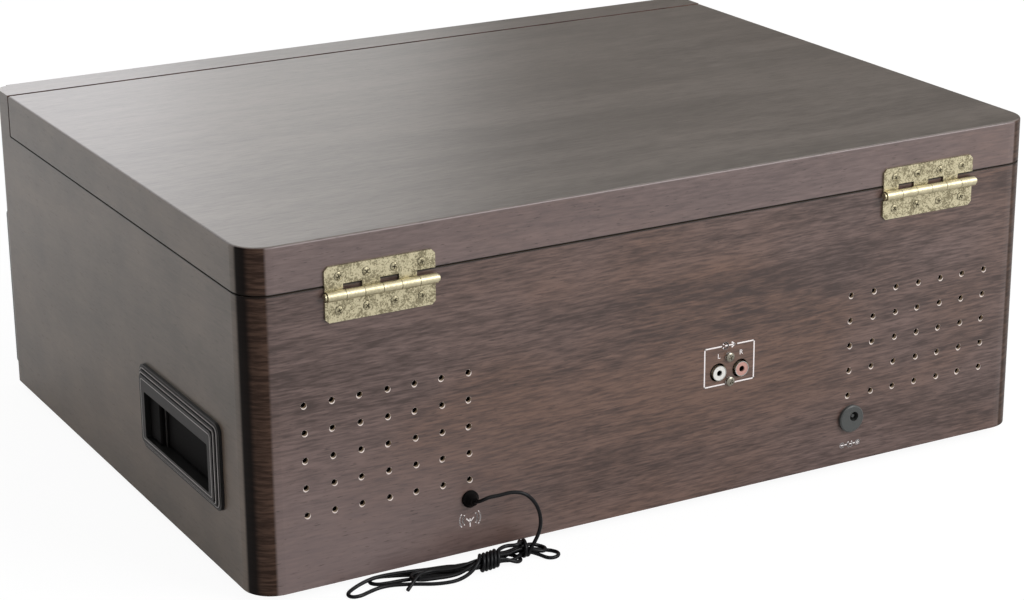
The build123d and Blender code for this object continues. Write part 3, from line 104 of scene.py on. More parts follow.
class FoilSettings(bpy.types.PropertyGroup):
    """Walnut foil on the cabinet and the raw board below it"""
    light: colour("Light grain", "Colour of the foil's light bands", (0.165, 0.108, 0.096))
    warm: colour("Warm grain", "Colour of the foil's reddish bands", (0.165, 0.092, 0.066))
    dark: colour("Dark grain", "Colour of the foil's dark streaks", (0.048, 0.026, 0.021))
    pore: colour("Pores", "Colour of the fine printed pores", (0.016, 0.009, 0.007))
    # Painted shade on the rounded rear corners: darker grain there, going near black on their side-facing half.
    bend: colour("Bent grain", "Colour of the foil's grain round the rear corners", (0.088, 0.051, 0.036))
    corner_shade_dark: colour("Bent dark", "Colour of the foil's pores round the rear corners", (0.030, 0.016, 0.011))
    # Side and top tones are painted sheen: lighter, greyer copies of the foil for faces that point sideways or up.
    side: colour("Side light", "Lighter tone of the foil on the sides", (0.235, 0.176, 0.130))
    side_sheen_dark: colour("Side dark", "Darker tone of the foil on the sides", (0.128, 0.098, 0.071))
    top: colour("Top light", "Lighter tone of the foil on the lid's top", (0.240, 0.208, 0.182))
    top_sheen_dark: colour("Top dark", "Darker tone of the foil on the lid's top", (0.142, 0.122, 0.104))
    # Paler tone on the back: a haze over the lid's band and towards the lower +X end, and a painted highlight along the
    # lid's top rear edge.
    haze_and_highlight: colour("Bloom", "Pale haze where the foil has been rubbed", (0.215, 0.162, 0.158))
    board: colour("Raw board", "Colour of the board where it is cut", (0.66, 0.52, 0.38))
    gloss: FloatProperty(name="Foil roughness", description="How soft the foil's reflections are", default=0.34,
                         min=0, max=1, subtype="FACTOR")


class MetalSettings(bpy.types.PropertyGroup):
    """Metals on the hinges, screws and controls"""
    brass: colour("Brass", "Bright part of the antique brass", (0.62, 0.56, 0.38))
    patina: colour("Patina", "Dark mottling of the antique brass", (0.17, 0.145, 0.085))
    steel: colour("Steel", "Plated steel", (0.62, 0.62, 0.60))


class WireSettings(bpy.types.PropertyGroup):
    """The antenna wire"""
    diameter: length("Wire diameter", "Outer diameter of the antenna wire", 0.002)
    turn_points: IntProperty(name="Points in a turn", description="Control points in one turn of the tie", default=12,
                             min=8, max=24)


class PrintSettings(bpy.types.PropertyGroup):
    """Printed marks on the back, the dial and the deck"""
    stroke: length("Stroke", "Width of the printed lines on the back", 0.00075)
    ink: colour("Ink", "Colour of the printed marks", (0.96, 0.90, 0.89))


SETTINGS = {"foil": FoilSettings, "metal": MetalSettings, "wire": WireSettings, "marks": PrintSettings}


def setting(group):
    return getattr(bpy.context.scene, "music_centre_" + group)


# ------------------------------------------------------------------ shader maths
class Sock:
    """A shader output that takes part in plain arithmetic."""

    def __init__(self, finish, out):
        self.finish = finish
        self.out = out

    def maths(self, operation, *terms):
        return self.finish.node("ShaderNodeMath", {"operation": operation}, dict(enumerate(terms)))

    def __rsub__(self, other):
        return self.maths("SUBTRACT", other, self)

    def __abs__(self):
        return self.maths("ABSOLUTE", self)

    def sine(self):
        return self.maths("SINE", self)

    def larger(self, other):
        return self.maths("MAXIMUM", self, other)

    def sharpened(self, start, end):
        """0 below start, 1 above end, smooth between."""
        return self.finish.node("ShaderNodeMapRange", {"interpolation_type": "SMOOTHSTEP"},
                                {0: self, 1: start, 2: end, 3: 0.0, 4: 1.0})


def two_terms(operation):
    return lambda first, second: first.maths(operation, first, second)


for sign, operation in (("add", "ADD"), ("radd", "ADD"), ("sub", "SUBTRACT"), ("mul", "MULTIPLY"),
                        ("rmul", "MULTIPLY"), ("truediv", "DIVIDE"), ("pow", "POWER"), ("gt", "GREATER_THAN"),
                        ("lt", "LESS_THAN")):
    setattr(Sock, f"__{sign}__", two_terms(operation))


class Finish:
    """A material with one Principled shader."""

    def __init__(self, name="finish"):
        self.material = bpy.data.materials.new(name)
        self.material.use_nodes = True
        self.tree = self.material.node_tree
        self.shader = self.tree.nodes["Principled BSDF"]

    def feed(self, socket, value):
        if isinstance(value, Sock):
            self.tree.links.new(value.out, socket)
        elif socket.type == "RGBA" and len(value) == 3:
            socket.default_value = (*value, 1)
        else:
            socket.default_value = value

    def node(self, kind, settings=None, sockets=None, out=0):
        made = self.tree.nodes.new(kind)
        for key, value in (settings or {}).items():
            setattr(made, key, value)
        for key, value in (sockets or {}).items():
            self.feed(made.inputs[key], value)
        return Sock(self, made.outputs[out])

    def split(self, vector):
        return [self.node("ShaderNodeSeparateXYZ", None, {0: vector}, out) for out in range(3)]

    def place(self):
        """The point on the piece, in metres."""
        return self.node("ShaderNodeTexCoord", None, None, "Object")

    def axes(self):
        return self.split(self.place())

    def facing(self):
        """The piece's own normal."""
        return self.node("ShaderNodeTexCoord", None, None, "Normal")

    def point(self, x, y, z):
        return self.node("ShaderNodeCombineXYZ", None, {0: x, 1: y, 2: z})

    def noise(self, vector, scale=1.0, detail=2.0, roughness=0.5):
        return self.node("ShaderNodeTexNoise", None,
                         {"Vector": vector, "Scale": scale, "Detail": detail, "Roughness": roughness})

    def blend(self, factor, first, second):
        return self.node("ShaderNodeMix", {"data_type": "RGBA"}, {0: factor, 6: first, 7: second}, 2)

    def bump(self, height, strength=0.3, distance=0.0002):
        return self.node("ShaderNodeBump", None, {"Strength": strength, "Distance": distance, "Height": height})

    def shade(self, base, rough, metal=0.0, normal=None, **sockets):
        wanted = {"Base Color": base, "Roughness": rough, "Metallic": metal}
        if normal is not None:
            wanted["Normal"] = normal
        wanted.update({key.replace("_", " "): value for key, value in sockets.items()})
        for key, value in wanted.items():
            self.feed(self.shader.inputs[key], value)
        return self.material


# ------------------------------------------------------------------ finishes
def dim(tint, share):
    return tuple(value * share for value in tint)


def walnut_foil(inside=None):
    """Printed walnut: grain along X on top, along the wrap on upright faces; raw board where inside() says."""
    wood = setting("foil")
    finish = Finish()
    x, y, z = finish.axes()
    normals = finish.split(finish.facing())
    level = abs(normals[2]) > 0.6
    side = (abs(normals[0]) > 0.9) * 1.0
    top = normals[2].sharpened(0.45, 0.9)

    def cloudy(scale_x, scale_y, scale_z, detail=2.0, roughness=0.5):
        return finish.noise(finish.point(x * scale_x, y * scale_y, z * scale_z), 1.0, detail, roughness)

    drift = cloudy(4.0, 4.0, 7.0, 1.0) - 0.5

    def grain(along, across, detail, wave):
        scale_y = level * (across - along) + along
        scale_z = level * (along - across) + across
        return finish.noise(finish.point(x * along, y * scale_y + drift * wave * level,
                                         z * scale_z + drift * wave * (1 - level)), 1.0, detail, 0.6)

    cloud = cloudy(4.0, 5.0, 9.0)
    blotch = cloudy(30.0, 26.0, 34.0, 4.0, 0.6)
    bands = grain(3.0, 42.0, 2.0, 1.2)
    streaks = grain(34.0, 300.0, 3.0, 3.0)
    fibres = grain(80.0, 820.0, 3.0, 6.0)
    pores = grain(150.0, 1000.0, 2.0, 12.0).sharpened(0.60, 0.74)
    calm = 1 - side * 0.6
    tone = (cloud * 0.9 + bands * 1.5 - 1.2) * (1 - side * 0.3) + (streaks * 1.1 + fibres * 2.5 - 1.8) * calm + 0.5
    tone = tone + (blotch - 0.5) * side * 1.6
    light = finish.blend(cloudy(7.0, 9.0, 12.0).sharpened(0.35, 0.65), wood.light, wood.warm)
    base = finish.blend(tone, wood.dark, light)
    # Painted sheen: the sides and the lid's top take their own lighter tints, chosen by which way each face points.
    base = finish.blend(side * 0.8, base, finish.blend(tone, wood.side_sheen_dark, wood.side))
    base = finish.blend(top * 0.9, base, finish.blend(tone, wood.top_sheen_dark, wood.top))
    # Paler back: haze over the lid's band and the lower +X end, plus a painted highlight along the lid's top rear edge.
    haze_and_highlight_mask = (z > SHELL_Z[1]) * 0.42 + x.sharpened(0.05, 0.21) * (1 - z.sharpened(0.01, 0.11)) * (cloud + 0.1)
    haze_and_highlight_mask = haze_and_highlight_mask.larger((z > LID_TOP - 1.0 * MM) * 0.95)
    base = finish.blend(haze_and_highlight_mask * (y > BACK_Y - WALL) * (1 - side) * (1 - top), base, wood.haze_and_highlight)
    base = finish.blend(pores * 0.6 * calm * (1 - top * 0.6), base, wood.pore)
    rough = wood.gloss + pores * 0.12 + fibres * 0.10 - 0.05
    height = fibres * 0.5 - pores
    coat = 1.0
    if inside is not None:
        # Painted shade round the rear corners: darker grain, near black towards the side.
        curve = corner_curve(x, y) * (1 - top)
        ticks = grain(60.0, 520.0, 4.0, 4.0).sharpened(0.36, 0.68)
        toward_side = ((abs(x) - (SIDE_X - CORNER)) - (y - (BACK_Y - CORNER))) / CORNER
        bend = finish.blend(ticks, wood.corner_shade_dark, wood.bend)
        bend = finish.blend(toward_side.sharpened(-0.05, 0.25) * 0.95, bend, dim(wood.pore, 0.4))
        base = finish.blend(curve, base, bend)
        # The second mask is painted shade: the depths of the bores and the faces in the gap between lid and body.
        bare, painted_shade = inside(x, y, z)
        chips = finish.noise(finish.place(), 900.0, 3.0)
        raw = finish.blend(chips, dim(wood.board, 0.72), wood.board)
        base = finish.blend(painted_shade, finish.blend(bare, base, raw), dim(wood.pore, 0.4))
        rough, height, coat = rough + bare * 0.4, height + bare * chips * 2.0, (1 - curve) * (1 - bare)
    return finish.shade(base, rough, normal=finish.bump(height, 0.12, 0.0001), Specular_IOR_Level=0.1,
                        Coat_Weight=coat, Coat_Roughness=wood.gloss)


def corner_curve(x, y):
    """1 on the rounded rear corners, where the wrap gets painted shade, 0 on the flats."""
    into_x = (abs(x) - (SIDE_X - CORNER)) / CORNER
    into_y = (y - (BACK_Y - CORNER)) / CORNER
    return into_x.sharpened(0.20, 0.32) * into_y.sharpened(0.22, 0.36)


def inside_shell(x, y, z):
    """Bores and inner faces of the wrapped shell are raw board; painted shade darkens its bores' depths and its top
    edge.
    """
    within = (abs(x) < SIDE_X - 0.2 * MM) * (y < BACK_Y - 0.2 * MM)
    curve = (abs(x) > SIDE_X - CORNER - 1 * MM) * (y > BACK_Y - CORNER - 1 * MM)
    corner_x = abs(x) - (SIDE_X - CORNER)
    corner_y = y - (BACK_Y - CORNER)
    radius = (corner_x * corner_x + corner_y * corner_y) ** 0.5
    bare = within * (1 - curve * (radius > CORNER - 0.5 * MM))
    depth = (y > BACK_Y - WALL - 0.2 * MM) * (y < BACK_Y - 1.7 * MM) * (abs(x) < SIDE_X - CORNER)
    return bare, (bare * depth).larger((z > SHELL_Z[1] - 0.5 * MM) * 0.8)


def inside_lid(x, y, z):
    """Hollow of the lid is raw board; painted shade darkens the edge that meets the body."""
    bare = (abs(x) < SIDE_X - WALL + 0.3 * MM) * (z < LID_TOP - 7.5 * MM) * (y < BACK_Y - WALL + 0.3 * MM)
    return bare, (z < low("lid_panel").z + 0.3 * MM) * 0.8


def raw_board():
    wood = setting("foil")
    finish = Finish()
    speck = finish.noise(finish.place(), 700.0, 4.0, 0.7)
    base = finish.blend(speck.sharpened(0.35, 0.65), dim(wood.board, 0.62), wood.board)
    return finish.shade(base, speck * 0.2 + 0.7, normal=finish.bump(speck, 0.4, 0.0003))


def plastic(tint, rough, grain=2600.0, depth=0.25, coat=0.0, gloss=0.5, wall_shade=0.0):
    """Moulded plastic with a spark-eroded texture; the wall setting paints shade on what doesn't face sideways."""
    finish = Finish()
    fine = finish.noise(finish.place(), grain, 3.0, 0.6)
    broad = finish.noise(finish.place(), 38.0, 2.0)
    base = finish.blend(broad.sharpened(0.3, 0.7), dim(tint, 0.86), tint)
    if wall_shade:
        flat = abs(finish.split(finish.facing())[0]).sharpened(0.5, 0.95)
        base = finish.blend((1 - flat) * wall_shade, base, dim(tint, 0.08))
    return finish.shade(base, fine * 0.10 + (broad * 0.08 + (rough - 0.08)),
                        normal=finish.bump(fine, depth, 0.00008), Coat_Weight=coat, Specular_IOR_Level=gloss)


def antique_brass():
    """Pale brass with fine dark speckle that wears off the barrel."""
    metal = setting("metal")
    finish = Finish()
    speckle = finish.noise(finish.place(), 1150.0, 3.0, 0.7)
    cloud = finish.noise(finish.place(), 170.0, 2.0)
    raised = (finish.axes()[1] > BACK_Y + 3.2 * MM) * 1.0
    dark = (speckle * 0.75 + cloud * 0.4).sharpened(0.63, 0.50) * (1 - raised * 0.7)
    base = finish.blend(dark * 0.8, metal.brass, metal.patina)
    return finish.shade(base, dark * 0.22 + 0.42, metal=1.0 - dark * 0.15,
                        normal=finish.bump(speckle, 0.5, 0.00012))


def screw_brass():
    """Darker oxidised brass of the hinge screws."""
    metal = setting("metal")
    finish = Finish()
    grime = finish.noise(finish.place(), 900.0, 4.0, 0.7)
    base = finish.blend(grime.sharpened(0.35, 0.65), dim(metal.patina, 0.8), metal.brass)
    # Painted shade: near black where the heads lie deepest, close to the back.
    deep_shade = (1 - (finish.axes()[1] - (BACK_Y + 1.25 * MM)) / (0.3 * MM)).sharpened(0.3, 0.7)
    base = finish.blend(deep_shade * 0.85, base, (0.022, 0.017, 0.010))
    return finish.shade(base, grime * 0.2 + 0.38, metal=0.9, normal=finish.bump(grime, 0.3, 0.0001))


def plated(tint, rough=0.28, lines=None):
    """Plated or turned metal; lines gives the axis that brushing runs round."""
    finish = Finish()
    place = finish.place()
    if lines is None:
        marks = finish.noise(place, 1400.0, 3.0)
    else:
        x, y, z = finish.axes()
        across, up = (x - lines[0]), (y - lines[1])
        marks = finish.noise(finish.point((across * across + up * up) ** 0.5 * 3200.0, z * 900.0, 0.0), 1.0, 2.0)
    base = finish.blend(finish.noise(place, 60.0, 2.0), dim(tint, 0.88), tint)
    return finish.shade(base, marks * 0.16 + (rough - 0.08), metal=1.0, normal=finish.bump(marks, 0.2, 0.00006))


def knob_metal():
    """Spun face and fluted side of the control knobs."""
    finish = Finish()
    x, y, z = finish.axes()
    spin = finish.noise(finish.point(y * 4200.0, x * 40.0, z * 40.0), 1.0, 2.0)
    base = finish.blend(spin, (0.62, 0.47, 0.24), (0.86, 0.72, 0.45))
    return finish.shade(base, spin * 0.14 + 0.20, metal=1.0, normal=finish.bump(spin, 0.2, 0.00006))


def cloth():
    """Plain-weave speaker cloth with slubs in its threads."""
    finish = Finish()
    x, _, z = finish.axes()
    pitch = 2 * math.pi / 0.0011
    threads = (x * pitch).sine() * (z * pitch).sine() * 0.5 + 0.5
    slub = finish.noise(finish.point(x * 60.0, 0.0, z * 900.0), 1.0, 3.0)
    base = finish.blend(threads * 0.7 + slub * 0.3, (0.055, 0.043, 0.034), (0.30, 0.235, 0.165))
    return finish.shade(base, 0.9, normal=finish.bump(threads + slub * 0.4, 0.8, 0.0003), Sheen_Weight=0.3)


def mat_felt():
    """Slip mat with pressed rings."""
    finish = Finish()
    x, y, _ = finish.axes()
    across, up = x - SPINDLE.x, y - SPINDLE.y
    radius = (across * across + up * up) ** 0.5
    ring = (radius * (2 * math.pi / 0.0032)).sine().sharpened(-0.2, 0.6) * (radius > 0.052)
    fuzz = finish.noise(finish.place(), 2400.0, 4.0, 0.7)
    base = finish.blend(fuzz, (0.012, 0.012, 0.013), (0.045, 0.044, 0.044))
    return finish.shade(base, 0.92, normal=finish.bump(ring + fuzz * 0.4, 0.5, 0.0005), Sheen_Weight=0.25)


def cone_paper():
    finish = Finish()
    fibre = finish.noise(finish.place(), 420.0, 5.0, 0.75)
    base = finish.blend(fibre, (0.025, 0.025, 0.026), (0.075, 0.074, 0.072))
    return finish.shade(base, 0.85, normal=finish.bump(fibre, 0.5, 0.0003))


def socket_rings():
    """White and red insulators of the two phono sockets, with painted shade down their bores."""
    finish = Finish()
    x, y, _ = finish.axes()
    cloud = finish.noise(finish.place(), 300.0, 2.0)
    face = finish.blend(x < middle("line_out_sleeves").x, (0.84, 0.83, 0.79), (0.58, 0.30, 0.25))
    # Painted shade: near black on what lies within 0.5 mm of the back or deeper.
    base = finish.blend(y > BACK_Y + 0.5 * MM, (0.020, 0.014, 0.012),
                        finish.blend(cloud * 0.2, face, (0.3, 0.26, 0.24)))
    return finish.shade(base, cloud * 0.1 + 0.27)


def dial_face():
    """Cream scale plate, warmer towards its ends."""
    finish = Finish()
    edge = abs(finish.axes()[0] / 0.07) ** 2.0
    tooth = finish.noise(finish.place(), 1500.0, 2.0)
    base = finish.blend(edge * 0.6, (0.80, 0.74, 0.58), (0.66, 0.53, 0.33))
    return finish.shade(base, tooth * 0.15 + 0.5, normal=finish.bump(tooth, 0.1, 0.00005))


def clear_lens():
    finish = Finish()
    haze = finish.noise(finish.place(), 80.0, 2.0)
    return finish.shade((0.98, 0.98, 0.98), haze * 0.04 + 0.02, Transmission_Weight=1.0, IOR=1.45)


def circuit_board():
    """Green board with copper tracks under its mask."""
    finish = Finish()
    place = finish.place()
    tracks = finish.node("ShaderNodeTexBrick", {"offset": 0.3}, {
        "Vector": place, "Scale": 160.0, "Mortar Size": 0.03, "Color1": (0, 0, 0, 1), "Color2": (0, 0, 0, 1),
        "Mortar": (1, 1, 1, 1)})
    base = finish.blend(tracks, (0.012, 0.085, 0.040), (0.10, 0.26, 0.10))
    return finish.shade(base, finish.noise(place, 400.0) * 0.1 + 0.3)


def printed_ink(tint):
    finish = Finish()
    tooth = finish.noise(finish.place(), 3000.0, 3.0)
    base = finish.blend(tooth.sharpened(0.62, 0.75) * 0.4, tint, dim(tint, 0.45))
    return finish.shade(base, tooth * 0.15 + 0.5)


def wire_jacket():
    """Thin glossy insulation, scuffed here and there."""
    finish = Finish()
    scuff = finish.noise(finish.place(), 260.0, 4.0, 0.7)
    base = finish.blend(scuff.sharpened(0.55, 0.75), (0.0035, 0.0035, 0.0045), (0.012, 0.013, 0.015))
    return finish.shade(base, scuff * 0.2 + 0.22, normal=finish.bump(scuff, 0.1, 0.0001), Specular_IOR_Level=0.22)


FINISHES = {}


def make_finishes():
    FINISHES.update({
        "foil_shell": walnut_foil(inside_shell),
        "foil_lid": walnut_foil(inside_lid),
        "foil_front": walnut_foil(),
        "raw_board": raw_board(),
        # Painted highlight for the vents' lower rims.
        "chipped_board": plastic((0.88, 0.77, 0.71), 0.8, 1500.0, 0.5, gloss=0.2),
        "black_plastic": plastic((0.020, 0.020, 0.021), 0.46),
        "gloss_black": plastic((0.012, 0.012, 0.013), 0.16, 1200.0, 0.04, 0.3),
        "slot_black": plastic((0.007, 0.006, 0.006), 0.42, 1200.0, 0.04, gloss=0.03),
        # Painted shade on the bezel's walls and between its steps.
        "bezel_grey": plastic((0.050, 0.045, 0.043), 0.40, 2200.0, 0.3, gloss=0.35, wall_shade=1.0),
        # Painted highlight colour of the bezel's bead lines.
        "worn_edge": plastic((0.52, 0.49, 0.475), 0.38, 900.0, 0.3),
        "antique_brass": antique_brass(),
        "screw_brass": screw_brass(),
        "screw_steel": plated(tuple(setting("metal").steel)),
        "blackened_steel": plated((0.30, 0.28, 0.23), 0.26),
        "grille_cloth": cloth(),
        "cone_paper": cone_paper(),
        "basket_steel": plastic((0.030, 0.030, 0.032), 0.42, 900.0),
        "clear_lens": clear_lens(),
        "dial_cream": dial_face(),
        "pointer_red": plastic((0.62, 0.03, 0.02), 0.35),
        "circuit_green": circuit_board(),
        "knob_brass": knob_metal(),
        "tray_grey": plastic((0.060, 0.060, 0.062), 0.42),
        "plated_sheet": plated((0.56, 0.57, 0.58), 0.36),
        "platter_silver": plated((0.72, 0.72, 0.71), 0.30, (SPINDLE.x, SPINDLE.y)),
        "mat_felt": mat_felt(),
        "belt_rubber": plastic((0.016, 0.016, 0.016), 0.62),
        "foot_rubber": plastic((0.022, 0.022, 0.022), 0.74, 1500.0, 0.4),
        "arm_silver": plated((0.78, 0.78, 0.77), 0.22),
        "cartridge_red": plastic((0.42, 0.02, 0.018), 0.26),
        "collar_colour": socket_rings(),
        "inlet_grey": plastic((0.066, 0.070, 0.068), 0.34, 1800.0, 0.5),
        "wire_black": wire_jacket(),
        "ink_white": printed_ink(tuple(setting("marks").ink)),
        "ink_dark": printed_ink((0.05, 0.035, 0.03)),
        "ink_red": printed_ink((0.55, 0.05, 0.04)),
    })
    for name, material in FINISHES.items():
        material.name = name


NODE_FINISH = {
    "cabinet_shell": "foil_shell", "lid_panel": "foil_lid", "front_board": "foil_front",
    "speed_lever": "arm_silver", "cue_lever": "arm_silver", "cassette_bezel": "bezel_grey",
    "cassette_flap": "slot_black", "cassette_key": "slot_black", "antenna_gland": "slot_black",
}


def dress(name):
    """Give a CAD node the finish of its material slot, or its own."""
    record = frame["record"]
    slots = {part["node"]: part["material_slot"] for part in record["subparts"]}
    material = FINISHES[NODE_FINISH.get(name, slots[name])]
    for place in frame["nodes"][name].material_slots:
        place.material = material


# ------------------------------------------------------------------ modelling helpers
def unselect():
    if bpy.context.object is not None and bpy.context.object.mode != "OBJECT":
        bpy.ops.object.mode_set(mode="OBJECT")
    bpy.ops.object.select_all(action="DESELECT")


def only(piece):
    unselect()
    piece.select_set(True)
    bpy.context.view_layer.objects.active = piece


def choose(piece, test, part="faces"):
    """Open a piece in edit mode with only the faces or edges that pass the test selected."""
    only(piece)
    bpy.ops.object.mode_set(mode="EDIT")
    bpy.ops.mesh.select_mode(type="FACE" if part == "faces" else "EDGE")
    bpy.ops.mesh.select_all(action="DESELECT")
    mesh = bmesh.from_edit_mesh(piece.data)
    for element in getattr(mesh, part):
        element.select_set(bool(test(element)))
    mesh.select_flush_mode()
    bmesh.update_edit_mesh(piece.data)


def leave():
    bpy.ops.object.mode_set(mode="OBJECT")


def leave_outward():
    """Turn every face outward, then leave edit mode."""
    bpy.ops.mesh.select_all(action="SELECT")
    bpy.ops.mesh.normals_make_consistent(inside=False)
    leave()


def modifier(piece, kind, **settings):
    only(piece)
    made = piece.modifiers.new(kind, kind)
    for key, value in settings.items():
        setattr(made, key, value)
    bpy.ops.object.modifier_apply(modifier=made.name)


def copies(piece, matrices):
    """One copy of a piece for each matrix, joined to one, and the first taken away."""
    made = []
    for matrix in matrices:
        twin = piece.copy()
        twin.data = piece.data.copy()
        twin.matrix_world = matrix
        bpy.context.scene.collection.objects.link(twin)
        made.append(twin)
    bpy.data.objects.remove(piece)
    return joined(made)


def joined(pieces):
    unselect()
    for piece in pieces:
        piece.select_set(True)
    bpy.context.view_layer.objects.active = pieces[0]
    if len(pieces) > 1:
        bpy.ops.object.join()
    return bpy.context.view_layer.objects.active


def settle(piece, name, body, finish, smooth=35):
    """Bake the place into the mesh, then name, smooth, paint and attach the piece."""
    only(piece)
    bpy.ops.object.transform_apply(location=True, rotation=True, scale=True)
    if smooth is not None:
        bpy.ops.object.shade_smooth_by_angle(angle=math.radians(smooth))
    piece.name = name
    piece.data.name = name
    piece.data.materials.clear()
    piece.data.materials.append(FINISHES[finish])
    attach(piece, body)
    return piece


FACE_BACK = Matrix.Rotation(math.radians(-90), 4, "X")
FACE_UP = Matrix.Identity(4)
READ_FROM_BACK = Matrix.Rotation(math.radians(180), 4, "Z") @ Matrix.Rotation(math.radians(90), 4, "X")
READ_FROM_FRONT = Matrix.Rotation(math.radians(90), 4, "X")


def set_at(place, turn=FACE_UP, spin=0.0):
    return Matrix.Translation(Vector(place)) @ turn @ Matrix.Rotation(spin, 4, "Z")


def upright(y):
    """Plane square to Y whose drawn (across, up) points keep their own x and z."""
    return Matrix.Translation((0, y, 0)) @ Matrix(((1, 0, 0, 0), (0, 0, -1, 0), (0, 1, 0, 0), (0, 0, 0, 1)))


def cross_screw(radius, rise):
    """Domed screw head about the origin, facing +Z, with a cross recess."""
    unselect()
    bpy.ops.mesh.primitive_cylinder_add(vertices=20, radius=radius, depth=rise)
    head = bpy.context.object
    top = rise / 2
    choose(head, lambda face: face.normal.z > 0.9)
    bpy.ops.mesh.inset(thickness=radius * 0.22)
    bpy.ops.transform.translate(value=(0, 0, rise * 0.45))
    bpy.ops.mesh.inset(thickness=radius * 0.3)
    bpy.ops.transform.translate(value=(0, 0, rise * 0.2))
    leave()
    bars = []
    for turn in (0, math.pi / 2):
        bpy.ops.mesh.primitive_cube_add(size=1, location=(0, 0, top + rise * 0.5), rotation=(0, 0, turn))
        bar = bpy.context.object
        bar.scale = (radius * 1.15, radius * 0.26, rise * 1.3)
        bars.append(bar)
    cross = joined(bars)
    modifier(head, "BOOLEAN", object=cross, operation="DIFFERENCE", solver="EXACT", use_self=True)
    bpy.data.objects.remove(cross)
    return head


def spots(node):
    """Middles of the separate solids in a CAD node, from its loose triangles."""
    mesh = bmesh.new()
    mesh.from_mesh(frame["nodes"][node].data)
    bmesh.ops.remove_doubles(mesh, verts=mesh.verts, dist=1e-6)
    found, seen = [], set()
    for vert in mesh.verts:
        if vert in seen:
            continue
        group, todo = [], [vert]
        seen.add(vert)
        while todo:
            here = todo.pop()
            group.append(here.co.copy())
            for edge in here.link_edges:
                other = edge.other_vert(here)
                if other not in seen:
                    seen.add(other)
                    todo.append(other)
        lowest = Vector([min(co[axis] for co in group) for axis in range(3)])
        highest = Vector([max(co[axis] for co in group) for axis in range(3)])
        found.append((lowest, highest))
    mesh.free()
    return found


def strips(strokes, turn, width, thick):
    """Printed strokes: each is a run of (across, up) points on the plane that turn gives."""
    made = []
    for stroke in strokes:
        for (x0, z0), (x1, z1) in zip(stroke, stroke[1:]):
            unselect()
            bpy.ops.mesh.primitive_plane_add(size=1, location=((x0 + x1) / 2, (z0 + z1) / 2, 0))
            strip = bpy.context.object
            strip.scale = (math.hypot(x1 - x0, z1 - z0) + width, width, 1)
            strip.rotation_euler = (0, 0, math.atan2(z1 - z0, x1 - x0))
            made.append(strip)
    whole = joined(made)
    bpy.ops.object.transform_apply(location=True, rotation=True, scale=True)
    modifier(whole, "SOLIDIFY", thickness=thick, offset=1)
    whole.matrix_world = turn
    return whole


def ink(piece, name, body, slot, finish="ink_white"):
    """Attach a flat printed piece, left unsmoothed."""
    settle(piece, name, body, finish, None)


def printed(strokes, y, width, name, slot, finish="ink_white", body="cabinet", thick=0.06 * MM):
    """Strokes printed on the upright plane at y."""
    ink(strips(strokes, upright(y), width, thick), name, body, slot, finish)


def token(sides, radius, thick, place, turn, spin=0.0, stretch=(1, 1)):
    """Small raised flat shape with this many sides, its face along the turned +Z."""
    unselect()
    bpy.ops.mesh.primitive_circle_add(vertices=sides, radius=radius, fill_type="NGON")
    shape = bpy.context.object
    only(shape)
    bpy.ops.object.mode_set(mode="EDIT")
    bpy.ops.mesh.select_all(action="SELECT")
    bpy.ops.transform.rotate(value=-spin, orient_axis="Z", center_override=(0, 0, 0))
    bpy.ops.transform.resize(value=(*stretch, 1))
    bpy.ops.mesh.extrude_region_move(TRANSFORM_OT_translate={"value": (0, 0, thick)})
    leave_outward()
    shape.matrix_world = set_at(place, turn)
    return shape


def arc(centre, radius, start, end, steps=12):
    return [(centre[0] + radius * math.cos(math.radians(start + (end - start) * step / steps)),
             centre[1] + radius * math.sin(math.radians(start + (end - start) * step / steps)))
            for step in range(steps + 1)]


def words(text, place, turn, size):
    """Raised printed characters, as a mesh."""
    unselect()
    bpy.ops.object.text_add(location=(0, 0, 0))
    piece = bpy.context.object
    piece.data.body = text
    piece.data.size = size
    piece.data.align_x = "CENTER"
    piece.data.align_y = "CENTER"
    piece.data.extrude = 0.00003
    piece.data.resolution_u = 3
    only(piece)
    bpy.ops.object.convert(target="MESH")
    piece = bpy.context.object
    piece.matrix_world = set_at(place, turn)
    return piece


def tube(name, points, thick, kind, resolution=12, **settings):
    """Round curve along the points; the settings go to its spline."""
    curve = bpy.data.curves.new(name, "CURVE")
    curve.dimensions = "3D"
    curve.resolution_u = resolution
    curve.bevel_depth = thick / 2
    curve.bevel_resolution = 3
    spline = curve.splines.new(kind)
    spline.points.add(len(points) - 1)
    for point, place in zip(spline.points, points):
        point.co = (*place, 1)
    for key, value in settings.items():
        setattr(spline, key, value)
    made = bpy.data.objects.new(name, curve)
    bpy.context.scene.collection.objects.link(made)
    return made


def rounded_loop(width, height, radius, thick, turn):
    """Closed bead round a rounded rectangle, as a mesh."""
    corners = [(width / 2 - radius, height / 2 - radius, 0), (-width / 2 + radius, height / 2 - radius, 90),
               (-width / 2 + radius, -height / 2 + radius, 180), (width / 2 - radius, -height / 2 + radius, 270)]
    points = []
    for x, y, start in corners:
        points += arc((x, y), radius, start, start + 90, 6)
    bead = tube("bead", [(x, y, 0) for x, y in points], thick, "POLY", use_cyclic_u=True)
    only(bead)
    bpy.ops.object.convert(target="MESH")
    bead = bpy.context.object
    bead.matrix_world = turn
    return bead


# ------------------------------------------------------------------ operators
class Dressing(bpy.types.Operator):
    """Shared base of the music centre's operators"""
    bl_options = {"REGISTER", "UNDO"}

    def execute(self, context):
        self.build(context)
        return {"FINISHED"}


